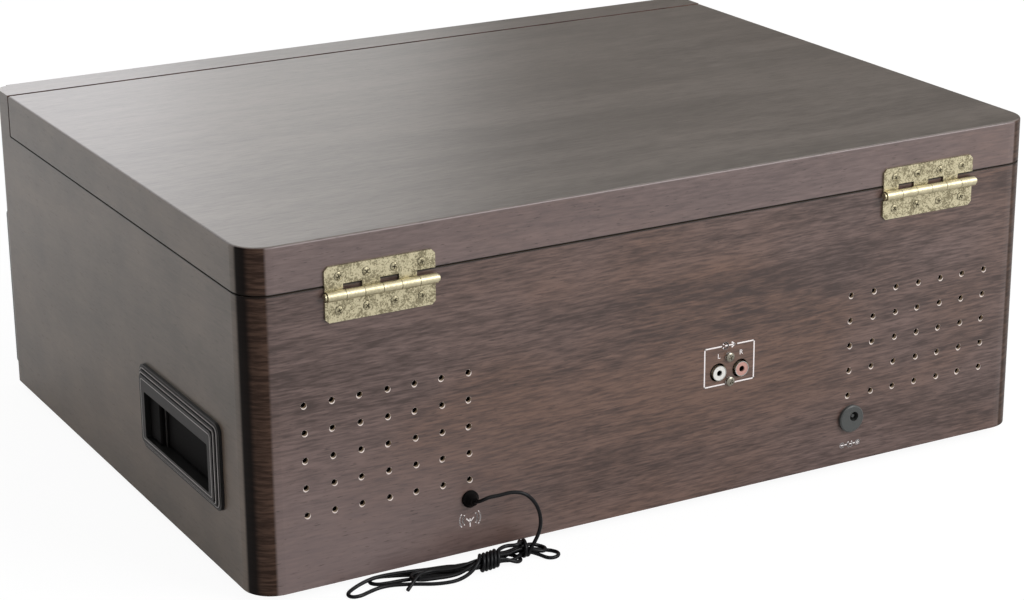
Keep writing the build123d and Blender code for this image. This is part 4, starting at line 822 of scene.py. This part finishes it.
class MUSIC_OT_stage(Dressing):
    """Pale floor, soft lamps and the camera"""
    bl_idname = "music.stage"
    bl_label = "Stage, light and camera"
    floor_glow = 1.06       # light of the floor as the lens sees it
    floor_share = 0.88      # part of that glow in the floor's look
    world_light = 0.62      # strength of the backdrop as light

    def build(self, context):
        self.floor()
        self.world(context)
        self.lamp("sky_lamp", (-0.2, -2.7, 0.88), (0.05, 0, 0.15), (1.3, 0.9), 3.9, (0.96, 0.94, 1.0))
        self.lamp("back_lamp", (-1.5, 2.3, 1.7), (-0.05, 0.1, 0.08), (1.8, 1.3), 47.0)
        self.flag("side_flag", (1.45, 0.55, 0.75), (0.2, 0.2, 0.1), (2.6, 1.5))
        self.flag("front_flag", (-2.7, -2.2, 1.0), (-0.2, 0.1, 0.1), (3.0, 2.0))
        self.camera(context)

    def floor(self):
        unselect()
        bpy.ops.mesh.primitive_plane_add(size=14)
        floor = bpy.context.object
        floor.name = "studio_floor"
        paper = Finish("studio_paper")
        paper.shade((0.95, 0.95, 0.95), 0.9, Specular_IOR_Level=0.0)
        glow = paper.node("ShaderNodeEmission", None, {"Color": (1, 1, 1), "Strength": self.floor_glow})
        seen = paper.node("ShaderNodeLightPath", None, None, "Is Camera Ray")
        mixed = paper.node("ShaderNodeMixShader", None, {0: seen * self.floor_share})
        paper.tree.links.new(paper.shader.outputs[0], mixed.out.node.inputs[1])
        paper.tree.links.new(glow.out, mixed.out.node.inputs[2])
        paper.tree.links.new(mixed.out, paper.tree.nodes["Material Output"].inputs["Surface"])
        floor.data.materials.append(paper.material)

    def aim(self, place, target, axis):
        return (Vector(target) - Vector(place)).to_track_quat(axis, "Y")

    def flag(self, name, place, target, size):
        """Dark card that the lens doesn't see, to keep light off one side."""
        unselect()
        bpy.ops.mesh.primitive_plane_add(size=1)
        card = bpy.context.object
        card.name = name
        turn = self.aim(place, target, "Z").to_matrix().to_4x4()
        card.matrix_world = Matrix.Translation(place) @ turn @ Matrix.Diagonal((*size, 1, 1))
        felt = Finish(name + "_felt")
        felt.shade((0.02, 0.02, 0.02), 0.9, Specular_IOR_Level=0.0)
        card.data.materials.append(felt.material)
        card.visible_camera = False

    def world(self, context):
        """White to the lens, to gloss and through glass, and softer as light."""
        world = bpy.data.worlds.new("studio_world")
        world.use_nodes = True
        context.scene.world = world
        tree = world.node_tree
        path = tree.nodes.new("ShaderNodeLightPath")
        chain = path.outputs["Is Camera Ray"]
        for ray in ("Is Glossy Ray", "Is Transmission Ray"):
            either = tree.nodes.new("ShaderNodeMath")
            either.operation = "MAXIMUM"
            tree.links.new(chain, either.inputs[0])
            tree.links.new(path.outputs[ray], either.inputs[1])
            chain = either.outputs[0]
        level = tree.nodes.new("ShaderNodeMapRange")
        level.inputs["To Min"].default_value = self.world_light
        level.inputs["To Max"].default_value = 1.0
        tree.links.new(chain, level.inputs["Value"])
        tree.links.new(level.outputs[0], tree.nodes["Background"].inputs["Strength"])
        tree.nodes["Background"].inputs["Color"].default_value = (1, 1, 1, 1)

    def lamp(self, name, place, target, size, power, tint=(1, 1, 1)):
        data = bpy.data.lights.new(name, "AREA")
        data.shape = "RECTANGLE"
        data.size, data.size_y = size
        data.energy = power
        data.color = tint
        lamp = bpy.data.objects.new(name, data)
        bpy.context.scene.collection.objects.link(lamp)
        lamp.location = place
        lamp.rotation_mode = "QUATERNION"
        lamp.rotation_quaternion = self.aim(place, target, "-Z")

    def camera(self, context):
        data = bpy.data.cameras.new("camera")
        data.sensor_width = 36
        data.lens = 91.21
        data.clip_start, data.clip_end = 0.05, 50
        camera = bpy.data.objects.new("camera", data)
        context.scene.collection.objects.link(camera)
        right = Vector((-0.87395, 0.48596, -0.00715))
        up = Vector((-0.16459, -0.28209, 0.94516))
        behind = right.cross(up)
        turn = Matrix((right, up, behind)).transposed().to_4x4()
        camera.matrix_world = Matrix.Translation((0.687407, 1.262313, 0.561718)) @ turn
        context.scene.camera = camera
        context.scene.view_settings.view_transform = "Standard"


class MUSIC_OT_finishes(Dressing):
    """Finishes of every CAD node"""
    bl_idname = "music.finishes"
    bl_label = "Finishes"

    def build(self, context):
        make_finishes()
        for name in frame["nodes"]:
            dress(name)


def behind(x, back, height):
    """A point given across, behind the back and above the floor, in millimetres."""
    return Vector((x * MM, BACK_Y + back * MM, height * MM))


# Free run of the antenna wire, from its gland down to the knot.
FREE_RUN = [
    (118.0, 5.0, 34.3), (117.6, 9.4, 35.8), (113.0, 11.2, 38.2), (107.4, 12.4, 38.4), (101.6, 14.2, 39.7),
    (95.4, 16.4, 38.8), (90.2, 17.2, 33.8), (87.0, 17.2, 27.4), (85.6, 16.6, 20.4), (86.6, 16.0, 14.2),
    (88.8, 15.2, 9.4),
]
# Middle line of the tied hank: across, behind the back.
HANK_LINE = [(84.0, 9.8), (92.0, 10.4), (104.0, 12.4), (115.0, 15.2), (122.0, 15.8), (128.0, 14.9), (134.0, 13.9)]
TIE_RISE = 4.1
# Lanes of the strands inside the turns: across the middle line, height.
LANES = {"low near": (-0.96, 3.2), "low far": (0.96, 3.2), "near": (-1.8, 4.9), "far": (1.8, 4.9),
         "top near": (-0.96, 6.6), "top far": (0.96, 6.6)}
# Long loop at the far end, then the strands laid to and fro inside the tie.
OUTER_LOOP = [
    (124.2, 19.6, 7.0), (129.4, 20.6, 3.2), (135.5, 20.6, 1.2), (141.5, 20.2, 1.0), (149.0, 18.0, 1.0),
    (155.5, 14.0, 1.0), (162.1, 10.8, 1.0), (168.1, 8.6, 1.0), (174.4, 8.2, 1.0), (180.6, 10.0, 1.0),
    (186.4, 12.2, 1.0), (190.8, 11.6, 1.0), (192.0, 8.0, 1.0), (189.4, 5.0, 1.2), (183.6, 2.8, 2.2),
    (176.8, 1.4, 3.2), (170.5, 1.2, 3.5), (163.5, 1.9, 3.5), (157.0, 3.0, 3.4), (151.0, 4.0, 3.2), (144.5, 4.0, 2.4),
    (137.5, 4.6, 2.2), (131.5, 7.2, 2.6), (126.5, 11.6, 2.8),
]
RIGHT_LOOP = [
    (103.5, 9.6, 2.6), (98.0, 8.2, 2.8), (92.0, 9.2, 3.8), (86.4, 9.0, 2.6), (81.0, 10.2, 1.4), (76.8, 12.8, 1.0),
    (75.2, 17.0, 1.0), (78.4, 20.8, 1.0), (83.4, 20.2, 1.0), (86.4, 14.8, 2.0), (91.2, 11.2, 3.4), (97.0, 13.2, 3.1),
    (101.5, 16.2, 2.4),
]
INNER_LOOP = [
    (127.5, 13.6, 2.4), (134.0, 12.4, 1.2), (141.0, 10.6, 1.0), (148.0, 8.8, 1.0), (155.0, 7.3, 1.0), (162.0, 6.2, 1.0),
    (168.4, 5.6, 1.0), (174.0, 4.4, 1.0), (176.4, 0.6, 1.0), (173.8, -3.2, 1.0), (168.8, -3.4, 1.0), (163.4, -1.4, 1.0),
    (157.0, 1.2, 1.0), (151.0, 4.4, 1.0), (144.0, 7.6, 1.0), (137.0, 11.6, 3.3), (130.5, 15.6, 3.7),
]
NEAR_FOLD = [
    (104.6, 17.0, 3.6), (100.2, 17.9, 1.8), (96.4, 15.0, 1.0), (95.8, 10.6, 1.0), (98.4, 7.0, 1.2), (102.6, 6.6, 2.8),
    (106.0, 9.0, 4.4),
]
BUNDLE_FOLD = [
    (127.0, 12.2, 4.6), (133.0, 9.2, 3.4), (140.0, 7.0, 3.0), (146.5, 5.8, 2.9), (152.6, 5.6, 3.1), (156.8, 7.8, 3.0),
    (157.2, 11.8, 3.0), (153.2, 14.8, 2.9), (146.5, 16.0, 2.8), (140.0, 17.0, 2.6), (133.5, 17.6, 3.0),
    (127.4, 17.8, 5.6),
]
KNOT_FOLD = [
    (104.0, 13.8, 5.4), (98.0, 11.6, 5.6), (92.0, 12.0, 5.8), (87.0, 14.6, 4.0), (82.8, 15.0, 2.8), (80.2, 11.8, 3.0),
    (81.8, 7.8, 3.0), (86.2, 7.0, 4.6), (92.0, 9.2, 5.8), (98.0, 9.8, 5.4), (104.0, 11.6, 5.6),
]
LAST_RUN = [
    (126.5, 15.4, 6.4), (132.5, 14.8, 5.0), (139.0, 13.2, 4.6), (144.6, 11.2, 4.9), (149.6, 10.9, 4.9),
    (154.6, 12.8, 5.4), (159.8, 16.0, 3.0), (163.4, 18.0, 1.0),
]


def hank_middle(x):
    for (x0, b0), (x1, b1) in zip(HANK_LINE, HANK_LINE[1:]):
        if x0 <= x <= x1:
            return b0 + (b1 - b0) * (x - x0) / (x1 - x0)
    return HANK_LINE[-1][1]


def ties(start, end, first, last, across, lean, steps):
    """Turns round the strands, from the first to the last angle past the top, each leaning along them."""
    turns = []
    total = round((last - first) / 360 * steps)
    for step in range(total + 1):
        angle = math.radians(first + 360 * step / steps)
        shift = across * math.sin(angle)
        x = start + (end - start) * step / total + lean * shift
        turns.append((x, hank_middle(x) + shift, 1.0 + TIE_RISE * (1 + math.cos(angle))))
    return turns


def inside_tie(lane, left_to_right):
    """Points of one strand where it runs inside the turns."""
    across, height = LANES[lane]
    run = [(x, hank_middle(x) + across, height) for x in (108.5, 115.0, 121.5)]
    return run if left_to_right else run[::-1]


def wire_route(steps):
    route = FREE_RUN + ties(90.5, 94.5, 90, 720, 4.2, 0.2, steps) + [(98.3, 13.8, 9.2), (103.6, 11.2, 9.2)]
    route += ties(109.5, 121.0, 0, 1800, 3.9, 0.4, steps) + OUTER_LOOP
    route += inside_tie("low near", False) + RIGHT_LOOP + inside_tie("low far", True)
    route += INNER_LOOP + inside_tie("far", False) + NEAR_FOLD + inside_tie("near", True)
    route += BUNDLE_FOLD + inside_tie("top far", False) + KNOT_FOLD + inside_tie("top near", True)
    return route + LAST_RUN


class MUSIC_OT_antenna(Dressing):
    """Antenna wire: a free run from its gland and the tied hank on the floor"""
    bl_idname = "music.antenna"
    bl_label = "Antenna wire"

    def build(self, context):
        wire = setting("wire")
        route = [behind(*point) for point in wire_route(wire.turn_points)]
        lead = tube("antenna_lead", route, wire.diameter, "NURBS", 4, order_u=3, use_endpoint_u=True)
        lead.data.use_fill_caps = True
        lead.data.materials.append(FINISHES["wire_black"])
        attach(lead, "cabinet")
        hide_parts("antenna_wire", "antenna_hank")


class MUSIC_OT_hinge_screws(Dressing):
    """Countersunk cross-head screws in the hinges"""
    bl_idname = "music.hinge_screws"
    bl_label = "Hinge screws"

    def build(self, context):
        for node, body in (("hinge_upper_screws", "lid"), ("hinge_lower_screws", "cabinet")):
            head = cross_screw(2.15 * MM, 0.55 * MM)
            places = []
            for number, (lowest, highest) in enumerate(spots(node)):
                centre = (lowest + highest) / 2
                place = (centre.x, highest.y - 0.55 * MM, centre.z)
                places.append(set_at(place, FACE_BACK, 0.5 + number * 1.1))
            screws = settle(copies(head, places), node + "_cut", body, "screw_brass")
            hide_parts(node)


class MUSIC_OT_vent_highlights(Dressing):
    """Painted highlight under the lower edge of each drilled vent, for the lit lower wall of its bore"""
    bl_idname = "music.vent_rims"
    bl_label = "Vent rims"

    def build(self, context):
        unselect()
        bpy.ops.mesh.primitive_circle_add(vertices=16, radius=VENT_RADIUS * MM, fill_type="NOTHING")
        ring = context.object
        only(ring)
        bpy.ops.object.mode_set(mode="EDIT")
        bpy.ops.mesh.select_mode(type="VERT")
        bpy.ops.mesh.select_all(action="SELECT")
        bpy.ops.mesh.extrude_region_move()
        bpy.ops.transform.resize(value=(1.02, 1.2, 1))
        bpy.ops.transform.translate(value=(0, 0.34 * MM, 0))
        leave_outward()
        places = []
        for side in (-1, 1):
            for column in range(VENT_COLUMNS):
                for row in range(VENT_ROWS):
                    x = side * (SIDE_X - (VENT_IN - column * VENT_STEP_IN) * MM)
                    z = SHELL_Z[0] + (VENT_UP + row * VENT_STEP_UP) * MM
                    turn = 0.5 * math.sin(column * 2.3 + row * 1.7 + side)
                    places.append(set_at((x, BACK_Y + 0.03 * MM, z), FACE_BACK, turn))
        settle(copies(ring, places), "vent_rims", "cabinet", "chipped_board")


class MUSIC_OT_line_out(Dressing):
    """Printed frame, channel marks and screw heads round the two sockets"""
    bl_idname = "music.line_out"
    bl_label = "Line sockets"

    def build(self, context):
        left, right, base, top = -23.6 * MM, -54.9 * MM, 67.2 * MM, 88.8 * MM
        middle_x = (left + right) / 2
        gap = 5.2 * MM
        frame_strokes = [[(middle_x + gap, top), (left, top), (left, base), (middle_x + 3 * MM, base)],
                         [(middle_x - gap, top), (right, top), (right, base), (middle_x - 3 * MM, base)]]
        arrow = [arc((middle_x + 2.6 * MM, top), 1.7 * MM, 40, 320, 14),
                 [(middle_x + 2.6 * MM, top), (middle_x - 3.2 * MM, top)],
                 [(middle_x - 1.6 * MM, top + 1.3 * MM), (middle_x - 3.2 * MM, top),
                  (middle_x - 1.6 * MM, top - 1.3 * MM)]]
        printed(frame_strokes + arrow, BACK_Y + 0.05 * MM, setting("marks").stroke, "line_out_frame", "collar_colour")
        letters = [words(text, (x * MM, BACK_Y + 0.03 * MM, 83.4 * MM), READ_FROM_BACK, 3.9 * MM)
                   for text, x in (("L", -32.6), ("R", -46.7))]
        ink(joined(letters), "channel_marks", "cabinet", "collar_colour")
        head = cross_screw(2.5 * MM, 0.8 * MM)
        places = [set_at((-39.0 * MM, BACK_Y + 1.2 * MM, 82.3 * MM), FACE_BACK, 0.4),
                  set_at((-39.4 * MM, BACK_Y + 1.2 * MM, 68.5 * MM), FACE_BACK, 1.0)]
        settle(copies(head, places), "line_out_screws", "cabinet", "blackened_steel")


class MUSIC_OT_back_marks(Dressing):
    """Printed pictograms under the power inlet and the antenna wire"""
    bl_idname = "music.back_marks"
    bl_label = "Marks on the back"

    def build(self, context):
        width = setting("marks").stroke * 0.8
        x, z = -120.6 * MM, 15.6 * MM
        polarity = [arc((x, z), 1.7 * MM, 130, 410, 12), arc((x + 5.2 * MM, z), 1.3 * MM, 0, 360, 12),
                    arc((x - 5.2 * MM, z), 1.3 * MM, 0, 360, 12),
                    [(x + 1.7 * MM, z), (x + 3.9 * MM, z)], [(x, z), (x - 3.9 * MM, z)],
                    [(x + 4.6 * MM, z), (x + 5.8 * MM, z)], [(x - 4.6 * MM, z), (x - 5.8 * MM, z)],
                    [(x - 5.2 * MM, z - 0.6 * MM), (x - 5.2 * MM, z + 0.6 * MM)]]
        x, z = 118.0 * MM, 21.4 * MM
        mast = [[(x, z - 2.4 * MM), (x, z + 1.6 * MM)],
                [(x - 2.0 * MM, z + 2.0 * MM), (x, z), (x + 2.0 * MM, z + 2.0 * MM)]]
        mast += [arc((x, z + 1.6 * MM), radius * MM, turn - half, turn + half, 8)
                 for radius, half in ((4.2, 38), (6.0, 34)) for turn in (0, 180)]
        printed(polarity + mast, BACK_Y + 0.05 * MM, width, "back_pictograms", "collar_colour")


class MUSIC_OT_dial(Dressing):
    """Scale and band numbers on the dial plate"""
    bl_idname = "music.dial"
    bl_label = "Dial scale"

    def build(self, context):
        centre_z = middle("dial_window").z
        face = PLATE_Y - 0.02 * MM
        lines = [[(-62 * MM, centre_z), (62 * MM, centre_z)]]
        for number in range(DIAL_TICKS):
            x = -DIAL_X + number * DIAL_X / 20
            reach = (2.6 if number % 10 == 0 else 1.9 if number % 5 == 0 else 1.1) * MM
            lines.append([(x, centre_z + 0.4 * MM), (x, centre_z + reach)])
            if number % 2 == 0:
                lines.append([(x, centre_z - 0.4 * MM), (x, centre_z - reach)])
        printed(lines, face, 0.3 * MM, "dial_scale", "dial_cream", "ink_dark")
        rows = ((("88", "92", "96", "100", "104", "108"), "FM", 5.8 * MM),
                (("54", "60", "80", "100", "130", "160"), "AM", -5.8 * MM))
        figures = [words(text, (-DIAL_X + number * DIAL_X * 2 / 5, face, centre_z + rise), READ_FROM_FRONT, 3.6 * MM)
                   for row, _, rise in rows for number, text in enumerate(row)]
        ink(joined(figures), "dial_figures", "cabinet", "dial_cream", "ink_dark")
        bands = [words(band, (-65 * MM, face, centre_z + rise), READ_FROM_FRONT, 2.8 * MM) for _, band, rise in rows]
        ink(joined(bands), "dial_bands", "cabinet", "dial_cream", "ink_red")
        rim = rounded_loop(140.6 * MM, 30.6 * MM, 3.2 * MM, 1.3 * MM,
                           Matrix.Translation((0, 0, centre_z)) @ upright(FRONT_Y - 0.1 * MM))
        settle(rim, "dial_rim", "cabinet", "knob_brass")


class MUSIC_OT_knobs(Dressing):
    """Inlaid pointer lines, spun centres and position marks of the three knobs"""
    bl_idname = "music.knobs"
    bl_label = "Knobs"

    def build(self, context):
        around = {"volume_knob": 11, "tuning_knob": 0, "function_knob": 4}
        marks = []
        for node in ("volume_knob", "tuning_knob", "function_knob"):
            centre = middle(node)
            radius = (high(node).x - low(node).x) / 2
            face = low(node).y
            grip = radius - 2 * MM
            inlay = token(4, 0.85 * MM, 0.05 * MM, (centre.x, face + 0.2 * MM, centre.z + grip - 6 * MM),
                          READ_FROM_FRONT, math.pi / 4, (0.92, 3.3))
            ink(inlay, node + "_inlay", node, "knob_brass", "ink_dark")
            room = grip - 9.2 * MM      # the small knob's line leaves no room for a centre
            if room > 0:
                boss = self.boss(room, (centre.x, face + 0.8 * MM, centre.z))
                settle(boss, node + "_boss", node, "knob_brass")
            first, step = (144, 36) if around[node] <= 4 else (225, 270 / (around[node] - 1))
            reach = radius + 2.0 * MM
            for number in range(around[node]):
                angle = math.radians(first - step * number)
                end = reach + (0.8 + 0.14 * number) * MM
                marks.append([(centre.x + far * math.cos(angle), centre.z + far * math.sin(angle))
                              for far in (reach, end)])
        x, z = middle("tuning_knob").x, low("tuning_knob").z - 4.6 * MM
        marks.append([(x - 5 * MM, z), (x + 5 * MM, z)])
        marks += [[(x + side * 3.6 * MM, z + 1.2 * MM), (x + side * 5 * MM, z), (x + side * 3.6 * MM, z - 1.2 * MM)]
                  for side in (-1, 1)]
        printed(marks, FRONT_Y - 0.02 * MM, 0.5 * MM, "knob_marks", "gloss_black")

    def boss(self, radius, place):
        """Domed centre button."""
        unselect()
        bpy.ops.mesh.primitive_cylinder_add(vertices=32, radius=radius, depth=0.5 * MM)
        boss = bpy.context.object
        choose(boss, lambda face: face.normal.z > 0.9)
        bpy.ops.mesh.inset(thickness=radius * 0.3)
        bpy.ops.transform.translate(value=(0, 0, 0.18 * MM))
        leave()
        boss.matrix_world = set_at(place, READ_FROM_FRONT)
        return boss


class MUSIC_OT_buttons(Dressing):
    """Pictograms on the four buttons and the power lamp"""
    bl_idname = "music.buttons"
    bl_label = "Buttons"

    def build(self, context):
        face = low("stop_button").y + 0.02 * MM
        stop, play, skip, power = (middle(name + "_button") for name in ("stop", "play", "skip", "power"))

        def mark(sides, radius, where, shift, spin, stretch=(1, 1)):
            place = (where.x + shift * MM, face, where.z)
            return token(sides, radius * MM, 0.05 * MM, place, READ_FROM_FRONT, spin, stretch)

        ink(mark(4, 1.9, stop, 0, math.pi / 4), "stop_mark", "stop_button", "gloss_black")
        ink(mark(3, 2.0, play, -0.3, -math.pi / 2), "play_mark", "play_button", "gloss_black")
        parts = [mark(3, 1.6, skip, shift, -math.pi / 2) for shift in (-1.9, 0.5)]
        parts.append(mark(4, 0.9, skip, 2.5, math.pi / 4, (0.5, 2.2)))
        ink(joined(parts), "skip_mark", "skip_button", "gloss_black")
        ring = [arc((power.x, power.z), 2.2 * MM, 115, 425, 16),
                [(power.x, power.z + 0.6 * MM), (power.x, power.z + 3 * MM)]]
        printed(ring, face, 0.5 * MM, "power_mark", "gloss_black", body="power_button", thick=0.05 * MM)
        unselect()
        bpy.ops.mesh.primitive_uv_sphere_add(segments=20, ring_count=12, radius=1.3 * MM)
        lamp = bpy.context.object
        choose(lamp, lambda face: True)
        bpy.ops.mesh.bisect(plane_co=(0, 0, 0), plane_no=(0, 0, 1), use_fill=True, clear_inner=True)
        leave()
        lamp.matrix_world = set_at((power.x, FRONT_Y, high("power_button").z + 5.5 * MM), READ_FROM_FRONT)
        settle(lamp, "power_lamp", "cabinet", "cartridge_red")


class MUSIC_OT_grilles(Dressing):
    """Brass bead round each speaker cloth and a line on the drawer"""
    bl_idname = "music.grilles"
    bl_label = "Grille beads"

    def build(self, context):
        lowest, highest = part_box("speaker_grilles")
        height = highest.z - lowest.z
        width = 112 * MM
        for name, x in (("left", lowest.x + width / 2), ("right", highest.x - width / 2)):
            place = Matrix.Translation((x, 0, (lowest.z + highest.z) / 2)) @ upright(FRONT_Y - 0.15 * MM)
            bead = rounded_loop(width + 0.6 * MM, height + 0.6 * MM, 9.2 * MM, 1.6 * MM, place)
            settle(bead, "grille_bead_" + name, "cabinet", "knob_brass")
        drawer = middle("cd_drawer")
        line = token(4, 0.6 * MM, 0.12 * MM, (drawer.x, low("cd_drawer").y + 0.06 * MM, drawer.z), READ_FROM_FRONT,
                     math.pi / 4, (110, 1))
        settle(line, "drawer_line", "cd_drawer", "knob_brass", None)


class MUSIC_OT_deck(Dressing):
    """Deck screws, speed numbers, cue marks and strobe dots"""
    bl_idname = "music.deck"
    bl_label = "Record deck"

    def build(self, context):
        head = cross_screw(3.1 * MM, 1.0 * MM)
        places = [set_at((x * MM, y * MM, DECK_Z + 0.35 * MM), FACE_UP, x)
                  for x, y in ((-212, -138), (212, -138), (-212, 160), (212, 160), (0, -138), (0, 160))]
        settle(copies(head, places), "deck_screws", "cabinet", "screw_steel")
        lever = middle("speed_lever")
        figures = [words(text, (lever.x + 11 * MM, lever.y + shift * MM, DECK_Z + 0.02 * MM), FACE_UP, 4.2 * MM)
                   for text, shift in (("33", -1.0), ("45", 6.0), ("78", 13.0))]
        ink(joined(figures), "speed_figures", "cabinet", "black_plastic")
        cue = middle("cue_lever")
        arrows = [token(3, 1.8 * MM, 0.05 * MM, (cue.x + 8 * MM, cue.y + shift * MM, DECK_Z), FACE_UP, spin)
                  for shift, spin in ((4.0, 0.0), (-4.0, math.pi))]
        ink(joined(arrows), "cue_marks", "cabinet", "black_plastic")
        rim = high("platter").z - 5 * MM
        radius = (high("platter").x - low("platter").x) / 2
        dot = token(6, 0.9 * MM, 0.25 * MM, (0, 0, 0), FACE_UP)
        dots = []
        for number in range(96):
            angle = 2 * math.pi * number / 96
            out = Vector((math.cos(angle), math.sin(angle), 0))
            place = Vector((SPINDLE.x, SPINDLE.y, rim)) + out * (radius - 0.15 * MM)
            dots.append(Matrix.Translation(place) @ out.to_track_quat("Z", "Y").to_matrix().to_4x4())
        settle(copies(dot, dots), "strobe_dots", "platter", "arm_silver", None)


class MUSIC_OT_tonearm(Dressing):
    """Head shell screws, tail weight ring and arm collar"""
    bl_idname = "music.tonearm"
    bl_label = "Tonearm details"

    def build(self, context):
        head = cross_screw(1.5 * MM, 0.7 * MM)
        centre, front, top = middle("cartridge"), low("cartridge").y, high("cartridge").z
        places = [set_at((centre.x + side * 4.5 * MM, front + 10 * MM, top + 6.2 * MM), FACE_UP, side)
                  for side in (-1, 1)]
        settle(copies(head, places), "shell_screws", "tonearm", "screw_steel")
        tail = high("tonearm_tube").y
        unselect()
        bpy.ops.mesh.primitive_cylinder_add(vertices=72, radius=9.9 * MM, depth=5 * MM, end_fill_type="NOTHING")
        ring = bpy.context.object
        choose(ring, lambda face: int((math.atan2(face.calc_center_median().y, face.calc_center_median().x)
                                       + math.pi) / (math.pi / 36)) % 2 == 0)
        bpy.ops.transform.resize(value=(0.965, 0.965, 1))
        leave()
        modifier(ring, "SOLIDIFY", thickness=0.5 * MM, offset=-1)
        ring.matrix_world = set_at((centre.x, tail - 10 * MM, LINE_OF_ARM), FACE_BACK)
        settle(ring, "tail_weight_ring", "tonearm", "black_plastic")
        for name, along, radius in (("arm_collar", -14, 4.9), ("shell_collar", -158, 4.8)):
            unselect()
            bpy.ops.mesh.primitive_cylinder_add(vertices=36, radius=radius * MM, depth=5 * MM)
            collar = bpy.context.object
            choose(collar, lambda face: abs(face.normal.z) > 0.9)
            bpy.ops.mesh.inset(thickness=0.6 * MM)
            bpy.ops.transform.resize(value=(1, 1, 1.15))
            leave()
            collar.matrix_world = set_at((centre.x, ARM.y + along * MM, LINE_OF_ARM), FACE_BACK)
            settle(collar, name, "tonearm", "knob_brass" if along > -50 else "arm_silver")


class MUSIC_OT_cassette(Dressing):
    """Bead lines on the cassette bezel, pale as painted highlights along its ridges"""
    bl_idname = "music.cassette"
    bl_label = "Cassette slot"

    def build(self, context):
        lowest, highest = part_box("cassette_bezel")
        centre = (lowest + highest) / 2
        face = highest.x
        side = Matrix(((0, 0, 1, 0), (1, 0, 0, 0), (0, 1, 0, 0), (0, 0, 0, 1)))
        for name, shrink, out in (("outer", 3.6, 1.75), ("middle", 7.6, 0.75), ("inner", 13.0, 0.05)):
            width = highest.y - lowest.y - shrink * MM
            height = highest.z - lowest.z - shrink * MM
            place = Matrix.Translation((face - out * MM, centre.y, centre.z))
            bead = rounded_loop(width, height, max(5 - shrink / 2.4, 1.6) * MM, 0.5 * MM, place @ side)
            settle(bead, "bezel_bead_" + name, "cabinet", "worn_edge")


PIECES = [MUSIC_OT_antenna, MUSIC_OT_hinge_screws, MUSIC_OT_vent_highlights, MUSIC_OT_line_out, MUSIC_OT_back_marks,
          MUSIC_OT_dial, MUSIC_OT_knobs, MUSIC_OT_buttons, MUSIC_OT_grilles, MUSIC_OT_deck, MUSIC_OT_tonearm,
          MUSIC_OT_cassette]
OPERATORS = [MUSIC_OT_stage, MUSIC_OT_finishes] + PIECES


class MUSIC_PT_panel(bpy.types.Panel):
    """Buttons for every group of pieces"""
    bl_idname = "MUSIC_PT_panel"
    bl_label = "Music centre"
    bl_space_type = "VIEW_3D"
    bl_region_type = "UI"
    bl_category = "Music centre"

    def draw(self, context):
        for group in SETTINGS:
            box = self.layout.box()
            for name in SETTINGS[group].__annotations__:
                box.prop(getattr(context.scene, "music_centre_" + group), name)
        for operator in OPERATORS:
            self.layout.operator(operator.bl_idname)


def register():
    for group, kind in SETTINGS.items():
        bpy.utils.register_class(kind)
        setattr(bpy.types.Scene, "music_centre_" + group, PointerProperty(type=kind))
    for kind in OPERATORS + [MUSIC_PT_panel]:
        bpy.utils.register_class(kind)


def unregister():
    for kind in reversed(OPERATORS + [MUSIC_PT_panel]):
        bpy.utils.unregister_class(kind)
    for group, kind in SETTINGS.items():
        delattr(bpy.types.Scene, "music_centre_" + group)
        bpy.utils.unregister_class(kind)


def main():
    register()
    for operator in OPERATORS:
        area, name = operator.bl_idname.split(".")
        getattr(getattr(bpy.ops, area), name)()


if __name__ == "__main__":
    main()
